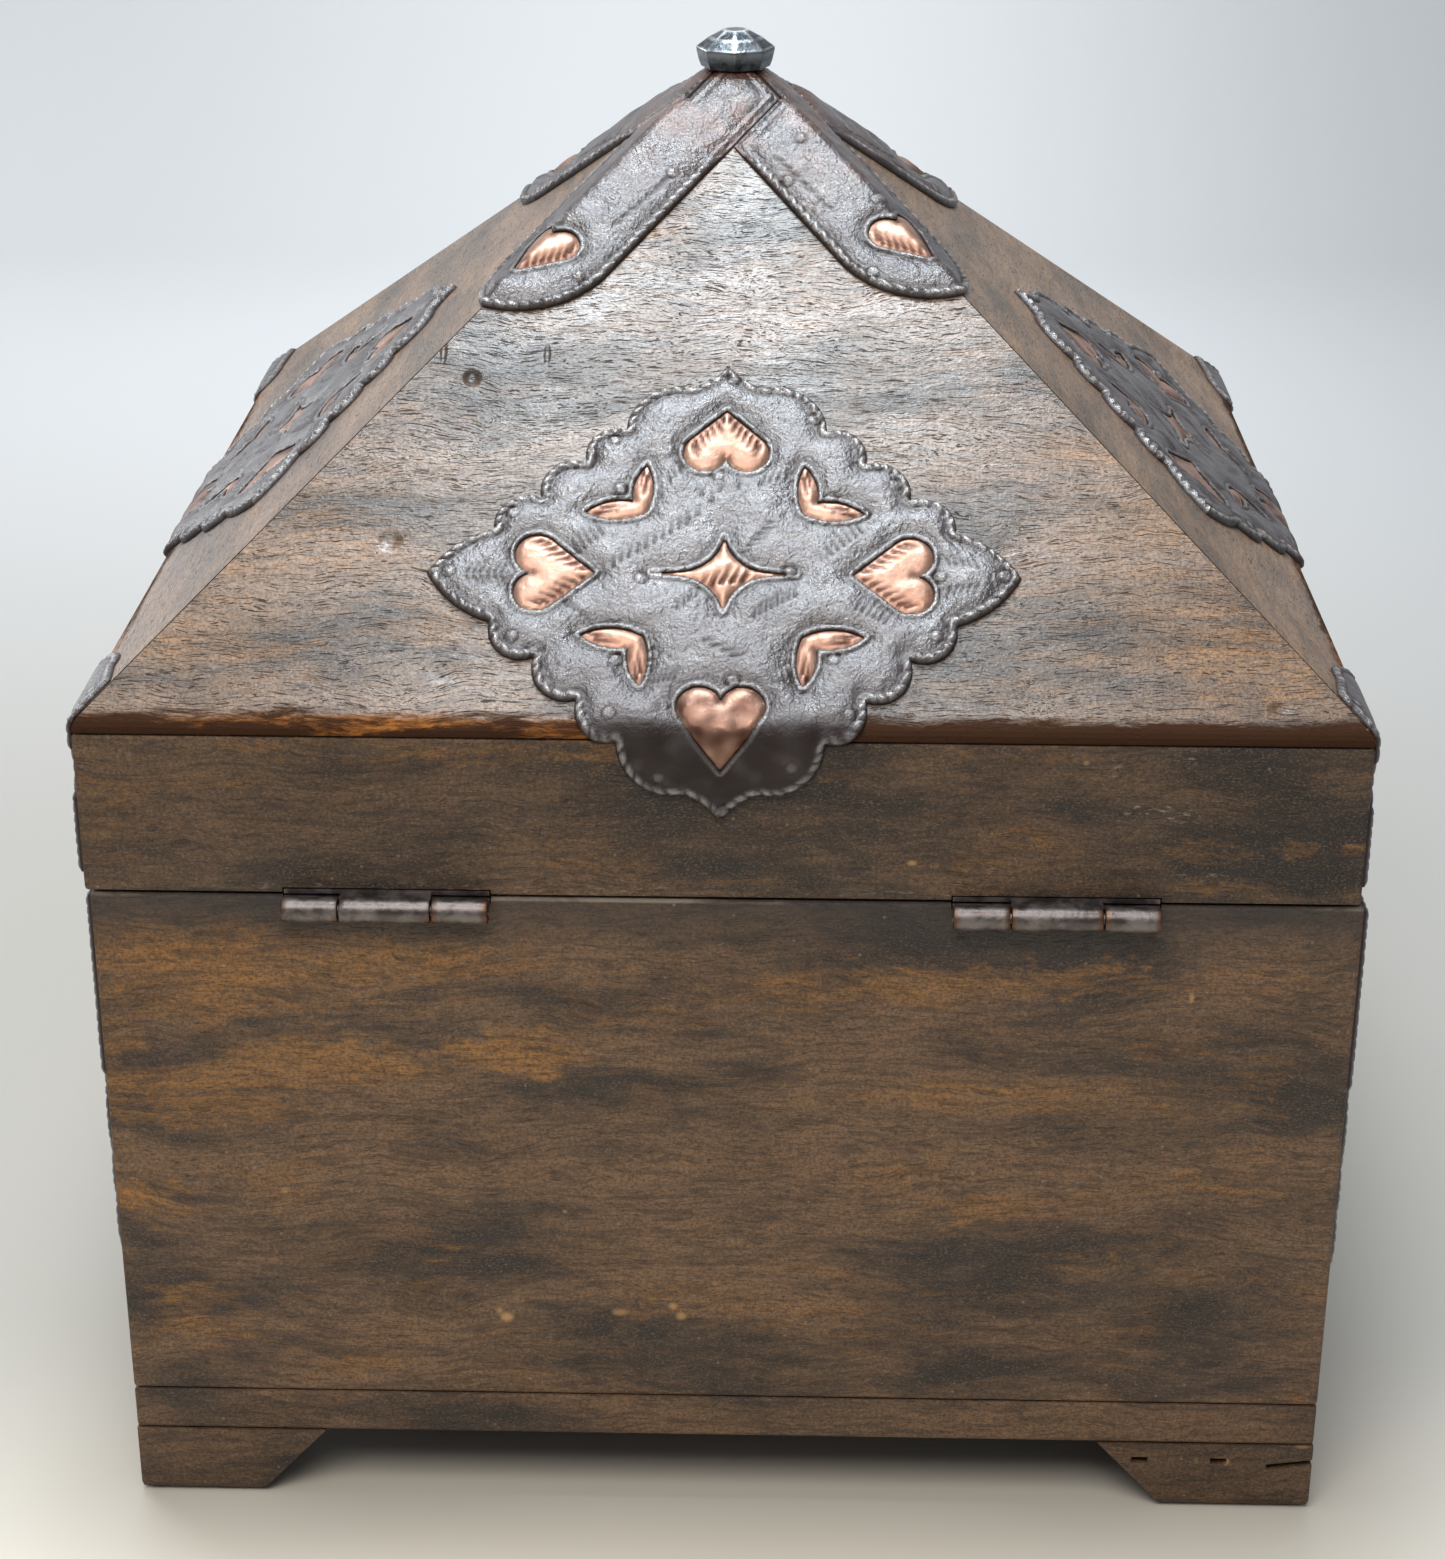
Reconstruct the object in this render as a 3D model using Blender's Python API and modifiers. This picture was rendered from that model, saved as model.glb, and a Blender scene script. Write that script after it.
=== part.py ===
"""A square wooden box on four bracket feet, with a hinged lid that rises to a peak.

The lid is a shallow rim with four mitred slope boards. Each slope carries a pierced iron
medallion over a sheet of copper, and each ridge a folded iron strap with a copper heart.
Metres, +Z up. The front is on the -Y side, the hinges are on the +Y side, and the right
side is +X. The origin is under the middle of the whole part.
"""
import bpy
import bmesh
from math import acos, asin, atan2, cos, hypot, pi, sin, tan
from mathutils import Matrix, Vector

# Clearance between pieces that touch
GAP = 0.0003

# Body
SIDE = 0.236
WALL = 0.009
BODY_HEIGHT = 0.1098
BOTTOM_THICK = 0.0092
EDGE_ROUND = 0.0007

# Feet: each has a short and a long wing, with slanted ends
FOOT_HEIGHT = 0.0153
FOOT_SHORT = 0.038
FOOT_LONG = 0.043
FOOT_SLANT = 0.014
FOOT_ROUND = 0.0022

# Old nail holes and a split in one back foot, measured from its outer end and its foot
HOLE_INNER = 0.0345
HOLE_OUTER = 0.0187
HOLE_UP = 0.0114
HOLE_WIDE = 0.0033
HOLE_HIGH = 0.0014
DAMAGE_DEEP = 0.0028
SPLIT_LENGTH = 0.0092
SPLIT_HIGH = 0.0013
SPLIT_TILT = 0.14

# Lid
SEAM = 0.0005
LID_SHIFT = 0.0008
RIM_HEIGHT = 0.03145
SLOPE_THICK = 0.005
EAVE_LIP = 0.0018
EAVE_WEAR = 0.0014
PEAK_RISE = 0.0997
PEAK_FLAT = 0.0034

# Sheet metal
COPPER_THICK = 0.0003
MEDALLION_THICK = 0.0007
STRAP_THICK = 0.0006
CORNER_THICK = 0.0008
COPPER_LAP = 0.0016
HIP_WEAR = 0.0006

# Medallion: half its width, its reach from the middle to the top, and how far up the slope
# its middle is
MEDALLION_HALF = 0.0550
MEDALLION_REACH = 0.0465
MEDALLION_UP = 0.0320

# The medallion's pattern as it is drawn, with its middle at 0, 0. It is stretched to fit.
DRAWN_HALF = 55.0
DRAWN_REACH = 46.5
DRAWN_FALL = 50.2
NOTCHES = ((43.0, 9.5), (34.5, 16.3), (26.3, 24.3), (19.0, 31.5))
SHOULDER = (7.0, 41.0)
STAR = (10.0, 8.0)
SPRIG_TIPS = ((26.1, 13.1), (14.8, 23.5))
SPRIG_ELBOW = (14.6, 13.1)
SPRIG_CROOK = (17.2, 15.6)
HEART_WIDE = 16.2
SIDE_HEART = (23.8, 38.8)
TOP_HEART = (35.7, 22.2)
LOW_HEART = (39.6, 23.4)

# Straps, measured down the ridge from the peak
STRAP_BACK_RIGHT = 0.0790
STRAP_BACK_LEFT = 0.0745
STRAP_FRONT = 0.0770
STRAP_HALF = 0.0145
STRAP_ARCH = 0.0225
STRAP_HEART_LONG = 0.0135
STRAP_HEART_WIDE = 0.0136
STRAP_HEART_UP = 0.0102

# Corner plates on the side faces of the lid
CORNER_WIDE = 0.030
CORNER_RISE = 0.0085
CORNER_CLEAR = 0.0032
CORNER_INSET = 0.0008

# Corner plates on the side faces of the body: each follows the corner down to its waist and
# steps back from it below
PLATE_WIDE = 0.0300
PLATE_TALL = 0.0845
PLATE_WAIST = 0.0372
PLATE_STEP = 0.0022

# Finial: the faceted head of a large nail
FINIAL_RADIUS = 0.0080
FINIAL_FOOT = 0.0070
FINIAL_TOP = 0.0026
FINIAL_CROWN = 0.0034
FINIAL_BAND = 0.0006
FINIAL_SKIRT = 0.0033
FINIAL_SIDES = 8
SHANK_RADIUS = 0.0015
SHANK_LENGTH = 0.0062

# Hinges
HINGE_X = 0.0619
HINGE_LENGTH = 0.0381
HINGE_MIDDLE = 0.0171
HINGE_RADIUS = 0.00235
HINGE_OUT = 0.0027
HINGE_DROP = 0.0015
LEAF_THICK = 0.0009
LEAF_DEEP = 0.0083
WEB_THICK = 0.0005
PIN_RADIUS = 0.0011
ROUND_SIDES = 16

# Levels
Z_BOTTOM = FOOT_HEIGHT + GAP
Z_WALL = Z_BOTTOM + BOTTOM_THICK + GAP
Z_BODY_TOP = Z_WALL + BODY_HEIGHT
Z_RIM = Z_BODY_TOP + SEAM
Z_RIM_TOP = Z_RIM + RIM_HEIGHT
Z_SEAT = Z_RIM_TOP + GAP
Z_EAVE = Z_SEAT + EAVE_LIP
Z_PEAK = Z_EAVE + PEAK_RISE
Z_FLAT = Z_PEAK - PEAK_FLAT
HALF = SIDE / 2

# Heights above the wood in the stack of copper and iron
UNDER_IRON = GAP + COPPER_THICK + GAP
MEDALLION_FACE = UNDER_IRON + MEDALLION_THICK
STRAP_FACE = UNDER_IRON + STRAP_THICK
CORNER_FACE = GAP + CORNER_THICK

# The middles in plan, set so that the origin is under the middle of everything
PLAN_X = (LID_SHIFT + CORNER_FACE - MEDALLION_FACE) / 2
PLAN_Y = -(HINGE_OUT + HINGE_RADIUS - MEDALLION_FACE) / 2
LID_MIDDLE = Vector((PLAN_X, PLAN_Y, 0))
BODY_MIDDLE = Vector((PLAN_X - LID_SHIFT, PLAN_Y, 0))
BACK_FACE = PLAN_Y + HALF
HINGE_AXIS = Vector((0, BACK_FACE + HINGE_OUT, Z_BODY_TOP - HINGE_DROP))

# The slope at the back and the slope at the right, and the ridge between them
SLOPE_LENGTH = hypot(HALF, PEAK_RISE)
PITCH = atan2(PEAK_RISE, HALF)
SLOPE_BACK = Vector((0, sin(PITCH), cos(PITCH)))
SLOPE_RIGHT = Vector((sin(PITCH), 0, cos(PITCH)))
PEAK = Vector((0, 0, Z_PEAK))
RIDGE_DOWN = (Vector((HALF, HALF, Z_EAVE)) - PEAK).normalized()


# Scene

def clear_scene():
    for item in list(bpy.data.objects):
        bpy.data.objects.remove(item, do_unlink=True)


def new_collection(name):
    collection = bpy.data.collections.new(name)
    bpy.context.scene.collection.children.link(collection)
    return collection


def make_material(name, colour, roughness, metallic=0.0):
    material = bpy.data.materials.new(name)
    material.use_nodes = True
    shader = material.node_tree.nodes["Principled BSDF"]
    shader.inputs["Base Color"].default_value = (*colour, 1)
    shader.inputs["Roughness"].default_value = roughness
    shader.inputs["Metallic"].default_value = metallic
    return material


clear_scene()
BOX = new_collection("peaked_lid_box")
CUTTERS = new_collection("cutters")
WOOD = make_material("dark_wood", (0.10, 0.055, 0.030), 0.55)
IRON = make_material("dark_iron", (0.10, 0.085, 0.085), 0.38, 0.9)
COPPER = make_material("copper", (0.72, 0.40, 0.28), 0.35, 1.0)
STEEL = make_material("hinge_steel", (0.30, 0.27, 0.25), 0.45, 0.9)
FINIAL_IRON = make_material("finial_iron", (0.20, 0.22, 0.24), 0.30, 1.0)


def place(name, mesh, material, parent=None, middle=Vector(), turn=0.0):
    """An object of the box, turned about its middle and hung on its parent."""
    piece = bpy.data.objects.new(name, mesh)
    BOX.objects.link(piece)
    if not mesh.materials:
        mesh.materials.append(material)
    piece.rotation_euler.z = turn
    piece.location = middle
    hang(piece, parent)
    return piece


def hang(piece, parent):
    """Parents a piece without moving it."""
    if parent:
        piece.parent = parent
        piece.location = piece.location - parent.location


def to_mesh(bm, name):
    mesh = bpy.data.meshes.new(name)
    bmesh.ops.recalc_face_normals(bm, faces=bm.faces)
    bm.to_mesh(mesh)
    bm.free()
    return mesh


def round_edges(piece):
    bevel = piece.modifiers.new("worn edges", "BEVEL")
    bevel.width = EDGE_ROUND
    bevel.segments = 2
    bevel.limit_method = "ANGLE"


def combine(piece, tool, operation="DIFFERENCE"):
    boolean = piece.modifiers.new(tool.name, "BOOLEAN")
    boolean.operation = operation
    boolean.solver = "EXACT"
    boolean.object = tool


def cutter(name, bm):
    tool = bpy.data.objects.new(name, to_mesh(bm, name))
    CUTTERS.objects.link(tool)
    tool.hide_render = True
    tool.display_type = "WIRE"
    return tool


def finished_mesh(piece):
    """The mesh of an object with its modifiers applied."""
    bpy.context.view_layer.update()
    graph = bpy.context.evaluated_depsgraph_get()
    return bpy.data.meshes.new_from_object(piece.evaluated_get(graph))


# Solids

def block(low, high):
    """A box between two corners."""
    bm = bmesh.new()
    bmesh.ops.create_cube(bm, size=1)
    low, high = Vector(low), Vector(high)
    bmesh.ops.transform(bm, verts=bm.verts, matrix=Matrix.Diagonal((*(high - low), 1)))
    bmesh.ops.translate(bm, verts=bm.verts, vec=(low + high) / 2)
    return bm


def score(bm, point, across, clear=False):
    """Cuts new edges along a plane. With clear, what lies beyond the plane goes."""
    bmesh.ops.bisect_plane(bm, geom=bm.verts[:] + bm.edges[:] + bm.faces[:], dist=1e-7,
                           plane_co=point, plane_no=across, clear_outer=clear)


def plane_off(bm, point, outward):
    """Planes away what lies beyond a plane and closes the cut."""
    score(bm, point, outward, clear=True)
    bmesh.ops.holes_fill(bm, edges=[edge for edge in bm.edges if edge.is_boundary])


def sheet(outlines, low, high):
    """A flat solid between two heights. The first outline is its edge, the rest are holes."""
    curve = bpy.data.curves.new("outline", "CURVE")
    curve.dimensions = "2D"
    curve.fill_mode = "BOTH"
    curve.extrude = (high - low) / 2
    for outline in outlines:
        spline = curve.splines.new("POLY")
        spline.points.add(len(outline) - 1)
        spline.use_cyclic_u = True
        for point, (u, v) in zip(spline.points, outline):
            point.co = (u, v, 0, 1)
    holder = bpy.data.objects.new("outline", curve)
    CUTTERS.objects.link(holder)
    bm = bmesh.new()
    bm.from_mesh(finished_mesh(holder))
    bpy.data.objects.remove(holder, do_unlink=True)
    bmesh.ops.remove_doubles(bm, verts=bm.verts, dist=1e-6)
    bmesh.ops.translate(bm, verts=bm.verts, vec=(0, 0, (low + high) / 2))
    return bm


def pocketed(bm, pocket, top):
    """A flat solid with a pocket cut into its underside, up to a height."""
    piece = bpy.data.objects.new("pocketed", to_mesh(bm, "pocketed"))
    CUTTERS.objects.link(piece)
    tool = cutter("pocket", sheet([pocket], 0, top))
    combine(piece, tool)
    result = bmesh.new()
    result.from_mesh(finished_mesh(piece))
    for item in (piece, tool):
        bpy.data.objects.remove(item, do_unlink=True)
    return result


# Flat outlines

def arc(start, end, bow, steps):
    """Points after start, up to end, bowed to the right of the way by a share of the chord."""
    start, end = Vector(start), Vector(end)
    chord = (end - start).length
    way = (end - start) / chord
    side = Vector((way.y, -way.x)) * (1 if bow > 0 else -1)
    rise = abs(bow) * chord
    radius = (chord * chord / 4 + rise * rise) / (2 * rise)
    centre = (start + end) / 2 - side * (radius - rise)
    spread = 2 * asin(chord / 2 / radius)
    points = []
    for step in range(1, steps + 1):
        angle = spread * (step / steps - 0.5)
        points.append(tuple(centre + side * radius * cos(angle) + way * radius * sin(angle)))
    return points


def four_ways(quarter, fall=1.0):
    """A closed outline from the quarter between +u and +v. The lower half is stretched."""
    top = quarter + [(-u, v) for u, v in reversed(quarter[:-1])]
    bottom = [(u, -v * fall) for u, v in reversed(top[1:-1])]
    return top + bottom


def heart(point, towards, width):
    """A heart from its point towards the far side of its lobes."""
    point, towards = Vector(point), Vector(towards)
    length = (towards - point).length
    up = (towards - point) / length
    right = Vector((up.y, -up.x))
    lobe = width / 4 * 1.03
    middle = width / 2 - lobe
    rise = length - lobe
    start = atan2(-rise, -middle) + acos(lobe / hypot(middle, rise))
    cleft = pi - asin(0.22)
    side = [(0.0, 0.0)]
    for step in range(6):
        angle = start + (cleft - start) * step / 5
        side.append((max(middle + lobe * cos(angle), 0), rise + lobe * sin(angle)))
    outline = side + [(-x, y) for x, y in reversed(side[1:-1])]
    return [tuple(point + right * x + up * y) for x, y in outline]


def medallion_edge():
    """Four pointed leaves with three scallops between each pair."""
    quarter = [(DRAWN_HALF, 0)] + arc((DRAWN_HALF, 0), NOTCHES[0], 0.10, 3)
    for start, end in zip(NOTCHES, NOTCHES[1:]):
        quarter += arc(start, end, 0.30, 4)
    quarter += arc(NOTCHES[-1], SHOULDER, 0.24, 4)
    quarter += arc(SHOULDER, (0, DRAWN_REACH), -0.10, 2)
    return four_ways(quarter, DRAWN_FALL / DRAWN_REACH)


def sprig(side, up):
    """Two pointed leaves that meet at an elbow, in one corner of the medallion."""
    outer, upper = SPRIG_TIPS
    outline = [upper] + arc(upper, SPRIG_ELBOW, 0.11, 3) + arc(SPRIG_ELBOW, outer, 0.14, 3)
    outline += arc(outer, SPRIG_CROOK, 0.12, 2) + arc(SPRIG_CROOK, upper, 0.12, 2)[:-1]
    return [(side * u, up * v) for u, v in outline]


def medallion_holes():
    """A star in the middle, hearts towards the four leaves, and sprigs between them."""
    wide, high = STAR
    near, far = SIDE_HEART
    holes = [four_ways([(wide, 0)] + arc((wide, 0), (0, high), -0.18, 3))]
    holes += [heart((side * near, 0), (side * far, 0), HEART_WIDE) for side in (-1, 1)]
    for way, (point, lobes) in ((1, TOP_HEART), (-1, LOW_HEART)):
        holes.append(heart((0, way * point), (0, way * lobes), HEART_WIDE))
    holes += [sprig(side, up) for side in (-1, 1) for up in (-1, 1)]
    return holes


def fitted(outline):
    """A drawn outline at the medallion's size and place."""
    return [(u * MEDALLION_HALF / DRAWN_HALF,
             v * MEDALLION_REACH / DRAWN_REACH + MEDALLION_UP) for u, v in outline]


def copper_outline(clear=0.0):
    """An eight-sided sheet that reaches past every hole of the medallion."""
    short = HEART_WIDE / 2
    far, top, low = SIDE_HEART[1], TOP_HEART[0], LOW_HEART[0]
    (short, low), (far, top) = fitted([(short, -low), (far, top)])
    lap = COPPER_LAP + clear
    far, top, low = far + lap, top + lap, low - lap
    high_end, low_end = fitted([(0, HEART_WIDE / 2), (0, -HEART_WIDE / 2)])
    high_end, low_end = high_end[1], low_end[1]
    return [(far, high_end), (short, top), (-short, top), (-far, high_end),
            (-far, low_end), (-short, low), (short, low), (far, low_end)]


def strap_outline(length):
    """A strap with a pointed lower end. Its +v side meets the cut edge of the next one."""
    straight = length - STRAP_ARCH
    arch = hypot(STRAP_ARCH, STRAP_HALF)
    bow = 0.31 * STRAP_HALF / arch
    spread = 2 * atan2(HALF, SLOPE_LENGTH)
    slant = STRAP_HALF / tan(spread)
    lap = (STRAP_HALF + GAP) / sin(spread)
    start = GAP / sin(spread)
    outline = [(start + GAP, GAP), (lap, GAP), (lap, 0), (lap + slant, -STRAP_HALF),
               (straight, -STRAP_HALF)]
    outline += arc((straight, -STRAP_HALF), (length, 0), bow, 5)
    outline += arc((length, 0), (straight, STRAP_HALF), bow, 5)
    return outline + [(start + slant, STRAP_HALF)]


def lining_outline(tip, clear=0.0):
    """A sheet of copper that reaches past the heart of a strap."""
    lap = COPPER_LAP + clear
    half = STRAP_HEART_WIDE / 2 + lap
    point, end = tip + lap, tip - STRAP_HEART_LONG - lap
    waist = tip - STRAP_HEART_LONG / 3
    blunt = half / 3
    return [(point, blunt), (waist, half), (end, half), (end, -half), (waist, -half),
            (point, -blunt)]


def scallops(start, ends, bow, wide=1.0, drop=1.0):
    """Bowed points from a start through each of several ends, given as shares of a size."""
    points = [start]
    for u, v in ends:
        points += arc(points[-1], (u * wide, -v * drop), bow, 3)
    return points


def corner_outline(hand):
    """A scalloped plate at one end of a side face, over the eave, clear of the ridge."""
    drop = RIM_HEIGHT + EAVE_LIP - CORNER_CLEAR
    slant = HALF / SLOPE_LENGTH
    inset = CORNER_INSET
    ends = ((1 / 3, 0.75), (0.6, 0.5), (5 / 6, 0.23))
    points = scallops((inset, -drop), ends, 0.28, CORNER_WIDE, drop) + [(CORNER_WIDE, 0)]
    points += arc(points[-1], (0.6 * CORNER_WIDE, 0.76 * CORNER_RISE), 0.20, 3)
    points += [(inset + CORNER_RISE * slant, CORNER_RISE), (inset, 0), (inset, -0.17 * drop)]
    points += arc(points[-1], (inset, -0.5 * drop), -0.30, 4)
    return [(hand * (u - HALF), v) for u, v in points]


def plate_outline(hand):
    """A tall scalloped plate down one corner of the body, with a point at its waist."""
    inset = CORNER_INSET
    low = inset + PLATE_STEP
    rest = PLATE_TALL - PLATE_WAIST
    points = [(inset, 0), (inset, -PLATE_WAIST), (low, -PLATE_WAIST - 0.06 * rest)]
    points += scallops(points.pop(), [(low, PLATE_WAIST + share * rest) for share in
                                      (0.4, 0.62, 0.84)], 0.08)
    ends = ((0.40, 0.86), (0.50, 0.69), (0.61, 0.51), (0.74, 0.33), (0.88, 0.16), (1, 0))
    points += scallops((0.24 * PLATE_WIDE, -PLATE_TALL), ends, 0.20, PLATE_WIDE, PLATE_TALL)
    edge = Z_BODY_TOP - inset
    return [(hand * (HALF - u), edge + v) for u, v in points]


class Fold:
    """An edge of the lid. u runs along it, v away from it up side a, t out of the wood."""

    def __init__(self, point, along, normal_a, normal_b, wear):
        angle = normal_a.angle(normal_b)
        self.point, self.along, self.wear = point, along, wear
        self.normal_a, self.normal_b = normal_a, normal_b
        self.out_a, self.out_b = normal_a.cross(along), along.cross(normal_b)
        self.radius = wear / tan(angle / 2)
        self.reach = self.radius * angle / 2
        self.centre = point + self.out_a * wear - normal_a * self.radius

    def at(self, u, v, t):
        base = self.point + self.along * u
        flat = self.wear + abs(v) - self.reach
        if v >= self.reach:
            return base + self.out_a * flat + self.normal_a * t
        if v <= -self.reach:
            return base + self.out_b * flat + self.normal_b * t
        middle = (self.normal_a + self.normal_b).normalized()
        across = (self.normal_a - self.normal_b).normalized()
        turn = v / self.radius
        normal = middle * cos(turn) + across * sin(turn)
        return self.centre + self.along * u + normal * (self.radius + t)

    def bend(self, bm, steps=3):
        bmesh.ops.triangulate(bm, faces=bm.faces)
        for step in range(steps + 1):
            score(bm, (0, self.reach * (2 * step / steps - 1), 0), (0, 1, 0))
        bmesh.ops.triangulate(bm, faces=bm.faces)
        for vert in bm.verts:
            vert.co = self.at(*vert.co)
        return bm


EAVE = Fold(Vector((0, HALF, Z_EAVE)), Vector((-1, 0, 0)), SLOPE_BACK, Vector((0, 1, 0)),
            EAVE_WEAR)
RIDGE = Fold(PEAK, RIDGE_DOWN, SLOPE_BACK, SLOPE_RIGHT, HIP_WEAR)


# Body

def four_boards(stem, low, high, middle, parent=None):
    """Four boards around a square: the side boards fit between the front and back boards."""
    inner = HALF - WALL
    short = inner - GAP
    long_board = to_mesh(block((-HALF, inner, low), (HALF, HALF, high)), stem + "_long")
    short_board = to_mesh(block((-short, inner, low), (short, HALF, high)), stem + "_short")
    boards = {}
    for side, mesh, turn in (("back", long_board, 0), ("left", short_board, pi / 2),
                             ("front", long_board, pi), ("right", short_board, -pi / 2)):
        boards[side] = place(f"{stem}_{side}", mesh, WOOD, parent, middle, turn)
        round_edges(boards[side])
    return boards


def add_body():
    base = block((-HALF, -HALF, Z_BOTTOM), (HALF, HALF, Z_BOTTOM + BOTTOM_THICK))
    board = place("bottom_board", to_mesh(base, "bottom_board"), WOOD, middle=BODY_MIDDLE)
    round_edges(board)
    return four_boards("body", Z_WALL, Z_BODY_TOP, BODY_MIDDLE)


def foot_mesh():
    """A bracket foot for the back right corner, with its short wing at the back."""
    corner, inner = HALF, HALF - WALL
    short, long = corner - FOOT_SHORT, corner - FOOT_LONG
    plan = [(corner, corner), (short, corner), (short, inner), (inner, inner), (inner, long),
            (corner, long)]
    bm = sheet([plan], 0, FOOT_HEIGHT)
    bmesh.ops.dissolve_limit(bm, angle_limit=0.01, verts=bm.verts, edges=bm.edges)
    plane_off(bm, (short, 0, FOOT_HEIGHT), (-FOOT_HEIGHT, 0, -FOOT_SLANT))
    plane_off(bm, (0, long, FOOT_HEIGHT), (0, -FOOT_HEIGHT, -FOOT_SLANT))
    outer = [edge for edge in bm.edges
             if all(vert.co.z < GAP and max(vert.co.x, vert.co.y) > corner - GAP
                    for vert in edge.verts)]
    bmesh.ops.bevel(bm, geom=outer, offset=FOOT_ROUND, segments=3, profile=0.5,
                    affect="EDGES", material=-1)
    return to_mesh(bm, "foot")


def add_plates():
    """Plates drawn against the front wall and turned to the two side walls."""
    for hand, right_end, left_end in ((1, "back", "front"), (-1, "front", "back")):
        bm = sheet([plate_outline(hand)], GAP, CORNER_FACE)
        bmesh.ops.rotate(bm, verts=bm.verts, cent=(0, 0, 0), matrix=Matrix.Rotation(pi / 2, 3, "X"))
        bmesh.ops.translate(bm, verts=bm.verts, vec=(0, -HALF, 0))
        mesh = to_mesh(bm, "plate")
        place("plate_right_" + right_end, mesh, IRON, middle=BODY_MIDDLE, turn=pi / 2)
        place("plate_left_" + left_end, mesh, IRON, middle=BODY_MIDDLE, turn=-pi / 2)


def damage_foot(foot):
    """Old nail holes and a split in the outer face of the back left foot."""
    end = BODY_MIDDLE.x - HALF
    for name, along in (("hole_inner", HOLE_INNER), ("hole_outer", HOLE_OUTER)):
        low = (end + along - HOLE_WIDE / 2, BACK_FACE - DAMAGE_DEEP, HOLE_UP - HOLE_HIGH / 2)
        high = (end + along + HOLE_WIDE / 2, BACK_FACE + DAMAGE_DEEP, HOLE_UP + HOLE_HIGH / 2)
        combine(foot, cutter(name, block(low, high)))
    split = block((end - DAMAGE_DEEP, BACK_FACE - DAMAGE_DEEP * 2, HOLE_UP - SPLIT_HIGH / 2),
                  (end + SPLIT_LENGTH, BACK_FACE + DAMAGE_DEEP, HOLE_UP + SPLIT_HIGH / 2))
    bmesh.ops.rotate(split, verts=split.verts, cent=(end, BACK_FACE, HOLE_UP),
                     matrix=Matrix.Rotation(SPLIT_TILT, 3, "Y"))
    combine(foot, cutter("split", split))


def add_feet():
    mesh = foot_mesh()
    names = ("foot_back_right", "foot_back_left", "foot_front_left", "foot_front_right")
    feet = {name: place(name, mesh, WOOD, middle=BODY_MIDDLE, turn=index * pi / 2)
            for index, name in enumerate(names)}
    damage_foot(feet["foot_back_left"])


# Lid

def slope_mesh():
    """A slope board, planed from a block: level seat, upright lip and mitred ridges."""
    bm = block((-HALF, 0, Z_SEAT), (HALF, HALF, Z_PEAK))
    eave = Vector((0, HALF, Z_EAVE))
    plane_off(bm, eave, SLOPE_BACK)
    plane_off(bm, eave - SLOPE_BACK * SLOPE_THICK, -SLOPE_BACK)
    for side in (-1, 1):
        mitre = Vector((side, -1, 0)).normalized()
        plane_off(bm, -mitre * GAP / 2, mitre)
    plane_off(bm, (0, SHANK_RADIUS + GAP, 0), (0, -1, 0))
    plane_off(bm, (0, 0, Z_FLAT), (0, 0, 1))
    edges = [edge for edge in bm.edges
             if all(abs(vert.co.z - Z_EAVE) < GAP / 10 for vert in edge.verts)]
    bmesh.ops.bevel(bm, geom=edges, offset=EAVE_WEAR, segments=3, profile=0.5,
                    affect="EDGES", material=-1)
    return to_mesh(bm, "slope_board")


def around_lid(stem, mesh, material, lid):
    """The same piece on each of the four slopes."""
    for index, side in enumerate(("back", "left", "front", "right")):
        place(f"{stem}_{side}", mesh, material, lid, LID_MIDDLE, index * pi / 2)


def add_medallions(lid):
    outlines = [fitted(outline) for outline in [medallion_edge()] + medallion_holes()]
    plate = pocketed(sheet(outlines, GAP, MEDALLION_FACE), copper_outline(GAP), UNDER_IRON)
    around_lid("medallion", to_mesh(EAVE.bend(plate), "medallion"), IRON, lid)
    lining = EAVE.bend(sheet([copper_outline()], GAP, GAP + COPPER_THICK))
    around_lid("medallion_copper", to_mesh(lining, "medallion_copper"), COPPER, lid)


def add_strap(corner, length, lid, turn):
    tip = length - STRAP_HEART_UP
    hole = heart((tip, 0), (tip - STRAP_HEART_LONG, 0), STRAP_HEART_WIDE)
    plate = sheet([strap_outline(length), hole], GAP, STRAP_FACE)
    bent = RIDGE.bend(pocketed(plate, lining_outline(tip, GAP), UNDER_IRON))
    plane_off(bent, (0, 0, Z_FLAT + GAP), (0, 0, 1))
    place("strap_" + corner, to_mesh(bent, "strap"), IRON, lid, LID_MIDDLE, turn)
    lining = RIDGE.bend(sheet([lining_outline(tip)], GAP, GAP + COPPER_THICK))
    place("strap_copper_" + corner, to_mesh(lining, "strap_copper"), COPPER, lid, LID_MIDDLE,
          turn)


def add_straps(lid):
    add_strap("back_right", STRAP_BACK_RIGHT, lid, 0)
    add_strap("back_left", STRAP_BACK_LEFT, lid, pi / 2)
    add_strap("front_left", STRAP_FRONT, lid, pi)
    add_strap("front_right", STRAP_FRONT, lid, -pi / 2)


def add_corner_plates(lid):
    for hand, right_end, left_end in ((1, "front", "back"), (-1, "back", "front")):
        flat = sheet([corner_outline(hand)], GAP, CORNER_FACE)
        mesh = to_mesh(EAVE.bend(flat), "corner_plate")
        place("corner_right_" + right_end, mesh, IRON, lid, LID_MIDDLE, -pi / 2)
        place("corner_left_" + left_end, mesh, IRON, lid, LID_MIDDLE, pi / 2)


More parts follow.
